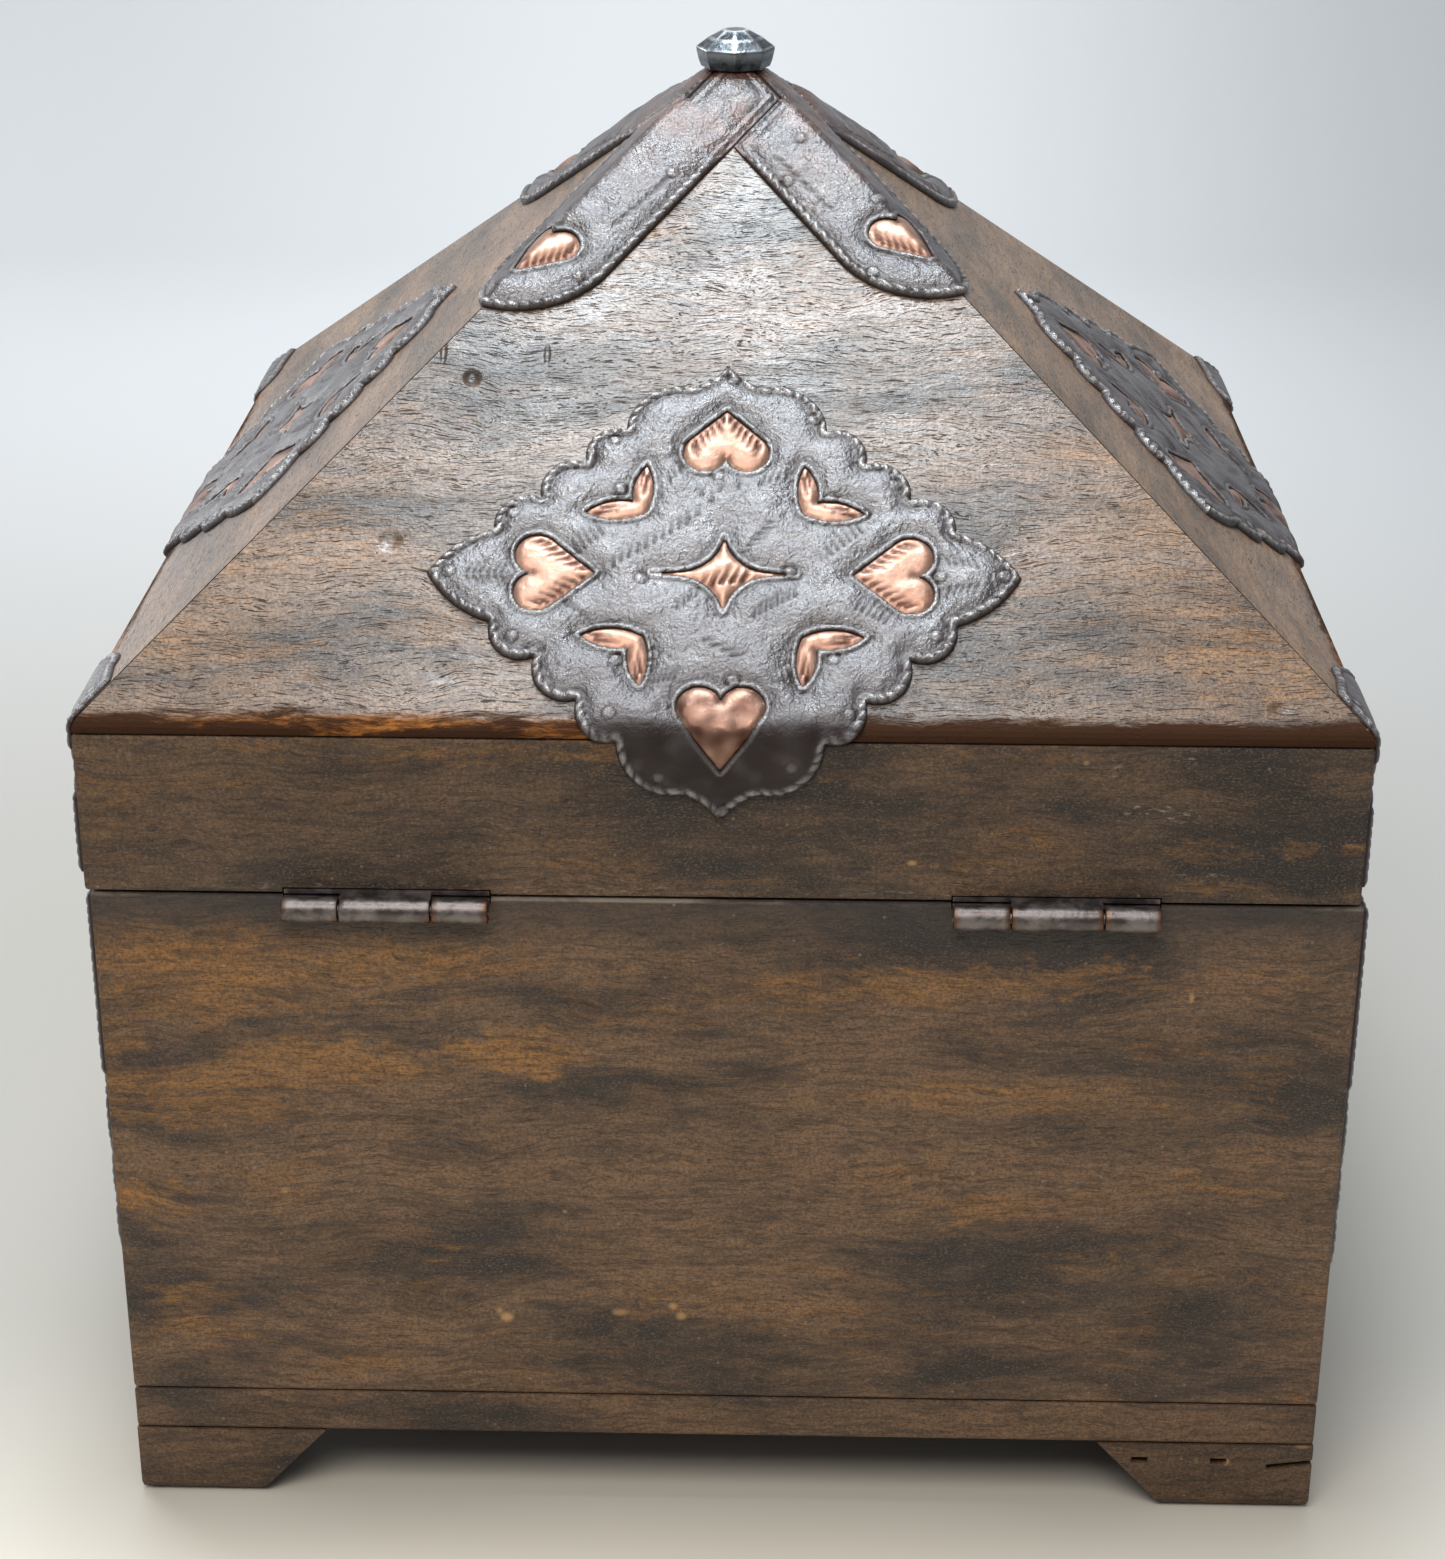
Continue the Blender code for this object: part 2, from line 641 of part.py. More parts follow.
def add_finial(lid):
    """A faceted nail head, turned from its outline as radius and height, from the top down."""
    foot = Z_FLAT + 2 * GAP
    band = foot + FINIAL_SKIRT
    crown = band + FINIAL_BAND
    profile = [(0, crown + FINIAL_CROWN), (FINIAL_TOP, crown + FINIAL_CROWN),
               (FINIAL_RADIUS, crown), (FINIAL_RADIUS, band), (FINIAL_FOOT, foot),
               (SHANK_RADIUS, foot), (SHANK_RADIUS, foot - SHANK_LENGTH),
               (0, foot - SHANK_LENGTH - SHANK_RADIUS)]
    bm = bmesh.new()
    verts = [bm.verts.new((radius, 0, height)) for radius, height in profile]
    for start, end in zip(verts, verts[1:]):
        bm.edges.new((start, end))
    mesh = bpy.data.meshes.new("finial")
    bm.to_mesh(mesh)
    bm.free()
    finial = place("finial", mesh, FINIAL_IRON, lid, LID_MIDDLE)
    screw = finial.modifiers.new("turn", "SCREW")
    screw.steps = screw.render_steps = FINIAL_SIDES
    screw.use_merge_vertices = True
    screw.merge_threshold = 1e-5


# Hinges

def knuckle(start, end):
    """A tube around the hinge axis, from one distance along the hinge to another."""
    bore = PIN_RADIUS + GAP
    bm = bmesh.new()
    corners = [(start, 0, bore), (end, 0, bore), (end, 0, HINGE_RADIUS), (start, 0, HINGE_RADIUS)]
    verts = [bm.verts.new(corner) for corner in corners]
    ring = [bm.edges.new((verts[index - 1], verts[index])) for index in range(4)]
    bmesh.ops.spin(bm, geom=verts + ring, cent=(0, 0, 0), axis=(1, 0, 0), angle=2 * pi,
                   steps=ROUND_SIDES, use_merge=True)
    bmesh.ops.remove_doubles(bm, verts=bm.verts, dist=1e-6)
    bmesh.ops.translate(bm, verts=bm.verts, vec=HINGE_AXIS)
    return bm


def add_leaf(name, low, knuckles, web_end, x, parent):
    """A hinge leaf let into the wood, with its knuckles joined on by short webs."""
    half = HINGE_LENGTH / 2
    middle = Vector((x, 0, 0))
    plate = block((-half, BACK_FACE - LEAF_DEEP, low), (half, BACK_FACE, low + LEAF_THICK))
    piece = place(name, to_mesh(plate, name), STEEL, parent, middle)
    for index, (start, end) in enumerate(knuckles):
        web = block((start, BACK_FACE - LEAF_DEEP / 2, low), (end, web_end, low + WEB_THICK))
        for part, bm in (("web", web), ("knuckle", knuckle(start, end))):
            tool = cutter(f"{name}_{part}_{index}", bm)
            tool.location = middle
            hang(tool, parent)
            combine(piece, tool, "UNION")


def add_mortise(name, board, low, high, x):
    """A shallow housing for a leaf, open at the back."""
    half = HINGE_LENGTH / 2 + GAP
    housing = block((x - half, BACK_FACE - LEAF_DEEP - GAP, low), (x + half, BACK_FACE + WALL, high))
    combine(board, cutter(name, housing))


def add_pin(name, x):
    bm = bmesh.new()
    bmesh.ops.create_cone(bm, cap_ends=True, segments=ROUND_SIDES, radius1=PIN_RADIUS,
                          radius2=PIN_RADIUS, depth=HINGE_LENGTH - 2 * GAP,
                          matrix=Matrix.Rotation(pi / 2, 4, "Y"))
    pin = place(name, to_mesh(bm, name), STEEL, middle=HINGE_AXIS + Vector((x, 0, 0)))
    pin.data.shade_smooth()
    pin.data.set_sharp_from_angle(angle=0.6)


def add_hinges(lid, body_back, rim_back):
    half, middle = HINGE_LENGTH / 2, HINGE_MIDDLE / 2
    outer = [(-half, -middle - GAP / 2), (middle + GAP / 2, half)]
    inner = [(GAP / 2 - middle, middle - GAP / 2)]
    low = Z_BODY_TOP - LEAF_THICK
    mid_wall = HINGE_AXIS.y - (HINGE_RADIUS + PIN_RADIUS + GAP) / 2
    for side, x in (("right", HINGE_X), ("left", -HINGE_X)):
        add_leaf("hinge_body_leaf_" + side, low, outer, mid_wall, x, None)
        add_leaf("hinge_lid_leaf_" + side, Z_RIM, inner, HINGE_AXIS.y, x, lid)
        add_mortise("body_mortise_" + side, body_back, low - GAP, Z_RIM, x)
        add_mortise("rim_mortise_" + side, rim_back, Z_BODY_TOP, Z_RIM + LEAF_THICK + GAP, x)
        add_pin("hinge_pin_" + side, x)


def build():
    lid = bpy.data.objects.new("lid_pivot", None)
    BOX.objects.link(lid)
    lid.location = HINGE_AXIS
    body = add_body()
    add_plates()
    add_feet()
    rim = four_boards("rim", Z_RIM, Z_RIM_TOP, LID_MIDDLE, lid)
    around_lid("slope", slope_mesh(), WOOD, lid)
    add_medallions(lid)
    add_straps(lid)
    add_corner_plates(lid)
    add_finial(lid)
    add_hinges(lid, body["back"], rim["back"])
    bpy.context.view_layer.update()


build()
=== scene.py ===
# %% [markdown]
# # A wooden box with a peaked lid
# The box is square, of dark waxed wood, and stands on four bracket feet. Its lid rises to a
# peak and carries pierced iron sheet over copper. The boards, hinges and sheets already exist
# as plain solids in the right places. This script loads them as a fixed frame and gives each
# one its finish, and it swaps the flat sheets for hammered ones.

# %% Load the frame
import bpy
import bmesh
import numpy as np
from math import acos, asin, atan2, cos, hypot, pi, radians, sin, tan
from mathutils import Matrix, Vector, noise


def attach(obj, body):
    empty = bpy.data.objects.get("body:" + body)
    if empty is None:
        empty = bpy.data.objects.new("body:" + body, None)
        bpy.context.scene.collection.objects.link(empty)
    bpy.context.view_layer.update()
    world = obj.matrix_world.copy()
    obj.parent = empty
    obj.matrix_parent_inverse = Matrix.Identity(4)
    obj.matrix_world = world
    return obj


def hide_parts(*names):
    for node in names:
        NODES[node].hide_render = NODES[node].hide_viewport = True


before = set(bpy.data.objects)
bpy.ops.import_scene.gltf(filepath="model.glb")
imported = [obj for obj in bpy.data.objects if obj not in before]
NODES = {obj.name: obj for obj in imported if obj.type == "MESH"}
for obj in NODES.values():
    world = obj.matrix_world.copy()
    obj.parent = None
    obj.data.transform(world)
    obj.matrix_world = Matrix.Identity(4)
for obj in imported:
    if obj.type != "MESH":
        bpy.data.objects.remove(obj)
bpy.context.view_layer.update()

# %% [markdown]
# ## The camera
# The photograph looks down at the hinged side from a little above. A camera that was fitted to
# the straight edges of the box stands 0.62 m behind its middle. Its lens is given for the
# longer side of the picture, which is how Blender reads it when the sensor fit is AUTO.

# %% Camera
CAMERA_AT = Vector((-0.01235, 0.622525, 0.38224))
CAMERA_RIGHT = Vector((-0.99970, -0.02456, 0.00174))
CAMERA_DOWN = Vector((-0.01149, 0.40258, -0.91531))
CAMERA_AHEAD = Vector((0.02178, -0.91506, -0.40274))
LENS = 70.36

camera_data = bpy.data.cameras.new("camera")
camera_data.lens = LENS
camera_data.sensor_fit = "AUTO"
camera_data.clip_start = 0.01
camera = bpy.data.objects.new("camera", camera_data)
bpy.context.scene.collection.objects.link(camera)
turned = Matrix((CAMERA_RIGHT, -CAMERA_DOWN, -CAMERA_AHEAD)).transposed()
camera.matrix_world = Matrix.Translation(CAMERA_AT) @ turned.to_4x4()
bpy.context.scene.camera = camera
print("camera at", [round(value, 3) for value in CAMERA_AT])

# %% [markdown]
# ## Making node materials in a few words
# Every finish below is built from the same few shader nodes: a noise, a ramp that turns a
# number into another number, a mix of two colours. Small helpers keep each recipe short. Each
# helper returns an output socket, so that one call can feed the next.

# %% Helpers for materials
class Recipe:
    """A node material that is put together one node at a time."""

    def __init__(self, name):
        self.material = bpy.data.materials.new(name)
        self.material.use_nodes = True
        self.tree = self.material.node_tree
        self.shader = self.tree.nodes["Principled BSDF"]
        self.place = self.tree.nodes.new("ShaderNodeTexCoord").outputs["Object"]

    def node(self, kind, **settings):
        made = self.tree.nodes.new("ShaderNode" + kind)
        for key, value in settings.items():
            setattr(made, key, value)
        return made

    def feed(self, socket, value):
        if isinstance(value, bpy.types.NodeSocket):
            self.tree.links.new(value, socket)
        elif socket.type == "RGBA":
            socket.default_value = (*value, 1)
        else:
            socket.default_value = value

    def stretched(self, scale, turn=0.0, shift=(0, 0, 0), source=None):
        """Coordinates with another scale along each axis."""
        mapping = self.node("Mapping")
        self.feed(mapping.inputs["Vector"], source or self.place)
        mapping.inputs["Scale"].default_value = scale
        mapping.inputs["Rotation"].default_value = (0, 0, turn)
        mapping.inputs["Location"].default_value = shift
        return mapping.outputs["Vector"]

    def noise(self, where, scale=1.0, detail=3.0, rough=0.5, warp=0.0):
        made = self.node("TexNoise")
        self.feed(made.inputs["Vector"], where)
        for key, value in (("Scale", scale), ("Detail", detail), ("Roughness", rough),
                           ("Distortion", warp)):
            made.inputs[key].default_value = value
        return made.outputs["Fac"]

    def ramp(self, value, low, high, start=0.0, end=1.0, smooth=True):
        """Maps low..high to start..end and stops at both ends."""
        made = self.node("MapRange", clamp=True)
        made.interpolation_type = "SMOOTHSTEP" if smooth else "LINEAR"
        self.feed(made.inputs["Value"], value)
        for key, number in (("From Min", low), ("From Max", high), ("To Min", start),
                            ("To Max", end)):
            made.inputs[key].default_value = number
        return made.outputs["Result"]

    def maths(self, kind, first, second=0.5):
        made = self.node("Math", operation=kind)
        self.feed(made.inputs[0], first)
        self.feed(made.inputs[1], second)
        return made.outputs[0]

    def mix(self, amount, first, second):
        made = self.node("Mix", data_type="RGBA")
        self.feed(made.inputs[0], amount)
        self.feed(made.inputs[6], first)
        self.feed(made.inputs[7], second)
        return made.outputs[2]

    def axis(self, name, source=None):
        """One coordinate of a point, in metres."""
        parts = self.node("SeparateXYZ")
        self.feed(parts.inputs[0], source or self.place)
        return parts.outputs[name]

    def attribute(self, name):
        return self.node("Attribute", attribute_name=name).outputs["Fac"]

    def bump(self, height, depth, below=None):
        made = self.node("Bump")
        self.feed(made.inputs["Height"], height)
        made.inputs["Distance"].default_value = depth
        if below:
            self.feed(made.inputs["Normal"], below)
        return made.outputs["Normal"]

    def finish(self, colour, roughness, normal=None, **fixed):
        self.feed(self.shader.inputs["Base Color"], colour)
        self.feed(self.shader.inputs["Roughness"], roughness)
        if normal:
            self.feed(self.shader.inputs["Normal"], normal)
        for key, value in fixed.items():
            self.feed(self.shader.inputs[key], value)
        return self.material


# %% [markdown]
# ## Floor and backdrop
# The box stands on a pale floor that sweeps up behind it, so that no horizon shows. The bend
# comes from a bevel of one point of a three-point line, which is then pulled out sideways.
# The paper is painted in broad soft steps of light and shade: painted light keeps it bright and
# warm near the camera, a painted shadow darkens it around and under the box, and painted shade
# greys it towards both sides.

# %% Floor and backdrop
SWEEP_FRONT = 1.9
SWEEP_BACK = -1.25
SWEEP_ROUND = 0.35
SWEEP_HIGH = 1.6
SWEEP_WIDE = 3.6

bm = bmesh.new()
profile = [bm.verts.new((-SWEEP_WIDE / 2, y, z)) for y, z in
           ((SWEEP_FRONT, 0), (SWEEP_BACK, 0), (SWEEP_BACK, SWEEP_HIGH))]
line = [bm.edges.new(pair) for pair in zip(profile, profile[1:])]
bmesh.ops.bevel(bm, geom=[profile[1]], offset=SWEEP_ROUND, segments=24, profile=0.5,
                affect="VERTICES", material=-1)
swept = bmesh.ops.extrude_edge_only(bm, edges=bm.edges[:])
bmesh.ops.translate(bm, vec=(SWEEP_WIDE, 0, 0),
                    verts=[item for item in swept["geom"] if isinstance(item, bmesh.types.BMVert)])
bmesh.ops.recalc_face_normals(bm, faces=bm.faces)
floor_mesh = bpy.data.meshes.new("floor")
bm.to_mesh(floor_mesh)
bm.free()
floor = bpy.data.objects.new("floor", floor_mesh)
bpy.context.scene.collection.objects.link(floor)
for polygon in floor_mesh.polygons:
    polygon.use_smooth = True
print("floor bends up in", len(floor_mesh.polygons), "strips")

# %% Paper of the floor
PAPER_WARM = (0.64, 0.58, 0.48)
PAPER_CREAM = (0.70, 0.64, 0.54)
PAPER_SHADED = (0.33, 0.305, 0.265)
PAPER_FAR = (0.63, 0.63, 0.635)
PAPER_SIDE_SHADE = (0.36, 0.365, 0.37)

paint = Recipe("pale_floor")
across, away = paint.axis("X"), paint.axis("Y")
clouding = paint.noise(paint.place, scale=4.0, detail=5)
near = paint.mix(paint.ramp(clouding, 0.3, 0.7), PAPER_WARM, PAPER_CREAM)
# Painted shadow: the paper darkens from just in front of the box to under it.
beside = paint.mix(paint.ramp(away, 0.195, 0.045), near, PAPER_SHADED)
paper = paint.mix(paint.ramp(away, -0.10, -0.80), beside, PAPER_FAR)
# Painted shade: the paper greys towards both sides, more on the side of negative X.
paper = paint.mix(paint.ramp(across, -0.02, -0.42, 0.0, 0.72), paper, PAPER_SIDE_SHADE)
paper = paint.mix(paint.ramp(across, 0.03, 0.40, 0.0, 0.42), paper, PAPER_SIDE_SHADE)
floor_mesh.materials.append(paint.finish(paper, 0.6))
print("paper in five tones")

# %% [markdown]
# ## Light
# A wide soft lamp hangs almost straight above, because the wax on the lid shines most near
# the peak and less towards the eaves, and because the feet stand in their own shadow. Weaker
# lamps on the camera's side and in front, and a pale sky, fill the upright faces. A low one
# beyond the right side lets the slope of that side shine, which the camera sees at a grazing
# angle.

# %% Lights
COOL, WARM, BLUE_WHITE = (0.84, 0.93, 1.0), (1.0, 0.97, 0.93), (0.95, 0.97, 1.0)
SKY = (0.85, 0.91, 1.0, 1)
SKY_STRENGTH = 0.30


def soft_light(name, at, towards, size, power, colour=(1, 1, 1)):
    """A rectangular lamp that faces a point."""
    data = bpy.data.lights.new(name, "AREA")
    data.shape = "RECTANGLE"
    data.size, data.size_y = size
    data.energy = power
    data.color = colour
    lamp = bpy.data.objects.new(name, data)
    lamp.location = at
    lamp.rotation_euler = (Vector(towards) - Vector(at)).to_track_quat("-Z", "Y").to_euler()
    bpy.context.scene.collection.objects.link(lamp)


soft_light("overhead", (0.05, -0.07, 1.35), (0, 0, 0.15), (0.44, 0.44), 19, COOL)
soft_light("camera_side", (0.2, 0.95, 1.45), (0, 0, 0.12), (1.0, 0.8), 20, WARM)
soft_light("front", (0.2, -1.1, 1.3), (0, 0, 0.05), (1.2, 0.5), 4)
soft_light("beyond", (0.95, -0.75, 0.45), (0.06, 0, 0.2), (0.5, 0.5), 4, BLUE_WHITE)

sky = bpy.data.worlds.new("sky")
sky.use_nodes = True
sky.node_tree.nodes["Background"].inputs["Color"].default_value = SKY
sky.node_tree.nodes["Background"].inputs["Strength"].default_value = SKY_STRENGTH
bpy.context.scene.world = sky
bpy.context.scene.view_settings.view_transform = "Standard"
print("four lamps and a pale sky")

# %% [markdown]
# ## Sizes that the pieces share
# The frame is in metres. The drawings further down are in millimetres, because numbers of
# that size are easier to read on work as small as this. The heights and widths that both
# need come first: the top of the body, the eave where a slope meets the rim, and the peak.
# The lid's middle lies 0.8 mm to the right of the body's, so each has a middle of its own.

# %% Shared sizes
MM = 0.001
HALF = 118.0
PLAN_Y = -1.725
LID_MIDDLE = Vector((0.15, PLAN_Y, 0)) * MM
BODY_MIDDLE = Vector((-0.65, PLAN_Y, 0)) * MM
Z_BODY_TOP = 134.9
EAVE_LIP = 1.8
Z_EAVE = 168.95
PEAK_RISE = 99.7
Z_PEAK = Z_EAVE + PEAK_RISE
Z_FLAT = 265.25
SLOPE_LENGTH = hypot(HALF, PEAK_RISE)
PITCH = atan2(PEAK_RISE, HALF)
print("the slopes lean back to a peak at", round(Z_PEAK, 2), "mm")

# %% [markdown]
# ## The wood
# The boards are dark open-grained wood. Long streaks run along the grain, some of them worn
# back to orange brown, with darker clouds between, and short dark pores follow the grain
# everywhere. All of it is made from noise that is stretched along the grain. The boards at
# the back and front run along X and the side boards along Y, so a quarter turn of the
# coordinates gives the second kind from the same recipe.

# %% Colours of the wood
DARK = (0.021, 0.015, 0.012)
BROWN = (0.166, 0.090, 0.044)
ORANGE = (0.262, 0.118, 0.029)
PALE_FIBRE = (0.27, 0.185, 0.110)
FRESH_WOOD = (0.46, 0.26, 0.10)
WORN = (0.34, 0.125, 0.030)
BURNT = (0.038, 0.017, 0.009)
UNDER_LID_DARK = (0.024, 0.021, 0.020)
DUST = (0.34, 0.28, 0.22)

# %% [markdown]
# ## Grain that wanders
# Real grain is never ruled straight: it sways over a few centimetres and trembles over a few
# millimetres. The three colour channels of one noise push a point along three axes at once,
# so two such pushes, a broad one and a fine one, bend every pattern that is read afterwards.

# %% Wavy grain
def shaken(recipe, source, period, reach):
    """Coordinates that a noise pushes about by up to half a reach along each axis."""
    sway = recipe.node("TexNoise")
    sway.inputs["Detail"].default_value = 4
    recipe.feed(sway.inputs["Vector"], recipe.stretched(period, source=source))
    push = recipe.node("VectorMath", operation="SUBTRACT")
    recipe.feed(push.inputs[0], sway.outputs["Color"])
    push.inputs[1].default_value = (0.5, 0.5, 0.5)
    offset = recipe.node("VectorMath", operation="MULTIPLY")
    recipe.feed(offset.inputs[0], push.outputs[0])
    offset.inputs[1].default_value = reach
    moved = recipe.node("VectorMath", operation="ADD")
    recipe.feed(moved.inputs[0], source)
    recipe.feed(moved.inputs[1], offset.outputs[0])
    return moved.outputs[0]


def wavy_grain(recipe, turn):
    """Coordinates whose grain runs along X and sways a little."""
    grain = shaken(recipe, recipe.stretched((1, 1, 1), turn), (5, 9, 9), (0, 0.012, 0.012))
    return shaken(recipe, grain, (16, 45, 45), (0, 0.0018, 0.0018))


# %% [markdown]
# ## Marks in chosen places
# Some marks belong in one place: a light patch beside a hinge, a dent, a charred stretch of
# the eave. Each is a soft ellipse around a point of the back, and a list of them gives one
# mask. They could also be painted on the mesh, but these numbers don't depend on how finely
# the board is divided.

# %% Soft spots
def patches(recipe, spots, source=None):
    """Soft spots on the back: middle x and z, half width and height in mm, and strength."""
    total = None
    for x, z, wide, high, strength in spots:
        scale = (1000 / wide, 0, 1000 / high)
        near = recipe.stretched(scale, shift=(-x / wide, 0, -z / high), source=source)
        reach = recipe.node("VectorMath", operation="LENGTH")
        recipe.feed(reach.inputs[0], near)
        spot = recipe.ramp(reach.outputs["Value"], 0.3, 1.4, strength, 0.0)
        total = recipe.maths("MAXIMUM", total, spot) if total else spot
    return total


# %% [markdown]
# ## Colour of a board, from broad to fine
# The broad figure comes first: dark and brown clouds under an orange glow. Then follow the
# fibres, the grit, the open pores and scratches across the grain. Each layer is a mix over
# the one before, so any of them can be made weaker for one kind of board.

# %% Broad figure
def read_grain(r, turn):
    """The patterns that several layers of the finish read."""
    r.grain = wavy_grain(r, turn)
    r.clouds = r.noise(r.stretched((17, 55, 55), source=r.grain), detail=6, rough=0.62)
    r.fibres = r.noise(r.stretched((75, 800, 800), source=r.grain), detail=4, rough=0.7)
    r.grit = r.noise(r.place, scale=1700, detail=2, rough=0.6)
    r.pore = r.ramp(r.noise(r.stretched((170, 4400, 4400), source=r.grain), detail=2),
                    0.55, 0.68)


def glowing(r, warmth):
    """How much orange shows: a broad figure, streaks along the grain, and the fibres."""
    figure = r.noise(r.stretched((22, 82, 82), shift=(3, 1, 7), source=r.grain), detail=8,
                     rough=0.70)
    streaks = r.noise(r.stretched((32, 430, 430), shift=(2, 6, 1), source=r.grain), detail=7,
                      rough=0.72)
    least = 0.16 * warmth
    glow = r.maths("ADD", r.ramp(figure, 0.28, 0.72, least, 0.42 + least, False),
                   r.ramp(streaks, 0.28, 0.72, 0.0, 0.44, False))
    return r.maths("ADD", glow, r.ramp(r.fibres, 0.30, 0.70, 0.0, 0.22, False))


def broad_figure(r, shades, clouded, warmth, warm_spots, dark_spots):
    """Dark and brown clouds under an orange glow, with light and dark marks in chosen places."""
    dark, brown, orange = shades
    loose = shaken(r, r.place, (40, 90, 90), (0.030, 0.0, 0.014))
    colour = r.mix(r.ramp(r.clouds, *clouded), dark, brown)
    glow = glowing(r, warmth)
    if warm_spots:
        glow = r.maths("ADD", glow, r.maths("MULTIPLY", patches(r, warm_spots, loose), 1.4))
    if dark_spots:
        stain = patches(r, dark_spots, loose)
        glow = r.maths("SUBTRACT", glow, stain)
        shade = r.maths("MULTIPLY", r.maths("MULTIPLY", stain, 2.0),
                        r.ramp(r.clouds, 0.35, 0.6, 1.0, 0.5))
        colour = r.mix(shade, colour, dark)
    return r.mix(r.ramp(glow, 0.60, 1.06), colour, orange)


# %% Fibres, pores and scratches
def fine_grain(r, colour, dark, turn, pored, scratched, crossed):
    """Pale and dark fibres, grit and pores, and pale scratches across the grain."""
    sparks = r.noise(r.stretched((1900, 3000, 3000), turn, (5, 5, 5)), detail=1)
    colour = r.mix(r.ramp(sparks, 0.46, 0.74, 0.0, 0.36), colour, PALE_FIBRE)
    colour = r.mix(r.ramp(r.fibres, 0.42, 0.66, 0.0, 0.58), colour, dark)
    colour = r.mix(r.ramp(r.grit, 0.35, 0.75, 0.0, 0.62), colour, dark)
    colour = r.mix(r.maths("MULTIPLY", r.pore, pored), colour, dark)
    scratches = r.noise(r.stretched((2100, 90, 90), turn=0.30, source=r.grain), detail=3,
                        rough=0.6)
    where = patches(r, crossed) if crossed else r.ramp(
        r.noise(r.place, scale=15, detail=2), 0.50, 0.66)
    scratches = r.maths("MULTIPLY", r.ramp(scratches, 0.56, 0.70), where)
    return r.mix(r.maths("MULTIPLY", scratches, scratched), colour, DUST)


# %% [markdown]
# ## Edges of the boards
# The lip under a slope is the most handled part of the lid: its finish is charred black, and
# bare orange wood shows where it was rubbed. The band only lies on the outside, so a mask by
# distance from the middle keeps it off the inside of the slope. The body darkens just under
# the lid, and its very edge carries a thin pale painted highlight in the colour of dust.

# %% Worn eave and darkened top
EAVE_LOW = (Z_EAVE - EAVE_LIP) * MM
EAVE_OUTSIDE = (0.1105, 0.1120)
print("the eaves start at", round(EAVE_LOW, 5), "m")


def worn_eave(r, turn, burnt_spots):
    """The ragged band along an eave, and its colour."""
    worn = r.noise(r.stretched((48, 380, 380), source=r.grain), detail=8, rough=0.8)
    ragged = r.maths("ADD", r.axis("Z"), r.maths("MULTIPLY", worn, 0.0062))
    band = r.ramp(ragged, EAVE_LOW + 0.0058, EAVE_LOW + 0.0078, 1.0, 0.0)
    across = r.axis("X") if turn else r.maths("SUBTRACT", r.axis("Y"), PLAN_Y * MM)
    band = r.maths("MULTIPLY", band, r.ramp(r.maths("ABSOLUTE", across), *EAVE_OUTSIDE))
    charred = r.noise(r.stretched((16, 60, 60), source=r.grain), detail=4)
    rubbed = r.maths("ADD", r.maths("MULTIPLY", worn, 0.6), r.maths("MULTIPLY", charred, 0.5))
    if burnt_spots:
        rubbed = r.maths("SUBTRACT", rubbed, patches(r, burnt_spots))
    return band, r.mix(r.ramp(rubbed, 0.54, 0.68), BURNT, WORN)


def darkened_top(r, colour, top):
    """Darkens the last 14 mm below the top and paints a thin pale highlight on the edge."""
    level = r.axis("Z")
    # The colour darkens towards the top over the last 14 mm, up to the lid.
    colour = r.mix(r.ramp(level, top - 0.014, top, 0.0, 0.7), colour, UNDER_LID_DARK)
    # Painted highlight: a thin pale line along the top edge, in the colour of dust.
    edge = r.maths("MULTIPLY", r.ramp(level, top - 0.0008, top - 0.0003),
                   r.ramp(r.clouds, 0.48, 0.62, 0.0, 0.5))
    return r.mix(edge, colour, DUST)


# %% [markdown]
# ## Dust and specks
# Fine dust stays in the grain as short pale dashes near the joints, and a few pale specks are
# strewn over all the boards. A cell pattern gives one dot in each cell, which is the simplest
# way to strew specks without a list of places.

# %% Dust and specks
def dusty_dashes(r, colour, spots):
    dashes = r.noise(r.stretched((420, 1500, 1500), source=r.grain), detail=2)
    dashes = r.maths("MULTIPLY", r.ramp(dashes, 0.58, 0.68), patches(r, spots))
    return r.mix(dashes, colour, DUST)


def strewn_specks(r, colour):
    speck = r.node("TexVoronoi", feature="F1")
    r.feed(speck.inputs["Vector"], r.place)
    speck.inputs["Scale"].default_value = 150
    return r.mix(r.ramp(speck.outputs["Distance"], 0.03, 0.06, 0.28, 0.0), colour, DUST)


# %% [markdown]
# ## Wax and surface
# The wax shines most near the middle of a slope and is rubbed off towards the corners. Pores
# and grit break it up, and the charred band has none. The surface keeps soft waves from the
# plane, dents, fibres and open pores, all of them as bumps, because they are too fine to be
# seen in the outline of a board.

# %% Wax and surface
def waxed_slope(r, waxed, turn, band):
    """How strongly a slope shines at each point."""
    out = r.maths("ABSOLUTE", r.axis("Y" if turn else "X"))
    shine = r.maths("MULTIPLY", r.ramp(out, 0.030, 0.095, waxed, 0.62 * waxed),
                    r.ramp(band, 0.0, 1.0, 1.0, 0.04))
    for pattern, limits in ((r.clouds, (0.30, 0.66, 0.78, 1.12)),
                            (r.pore, (0.0, 1.0, 1.0, 0.3)),
                            (r.grit, (0.3, 0.7, 1.1, 0.75))):
        shine = r.maths("MULTIPLY", shine, r.ramp(pattern, *limits))
    return shine


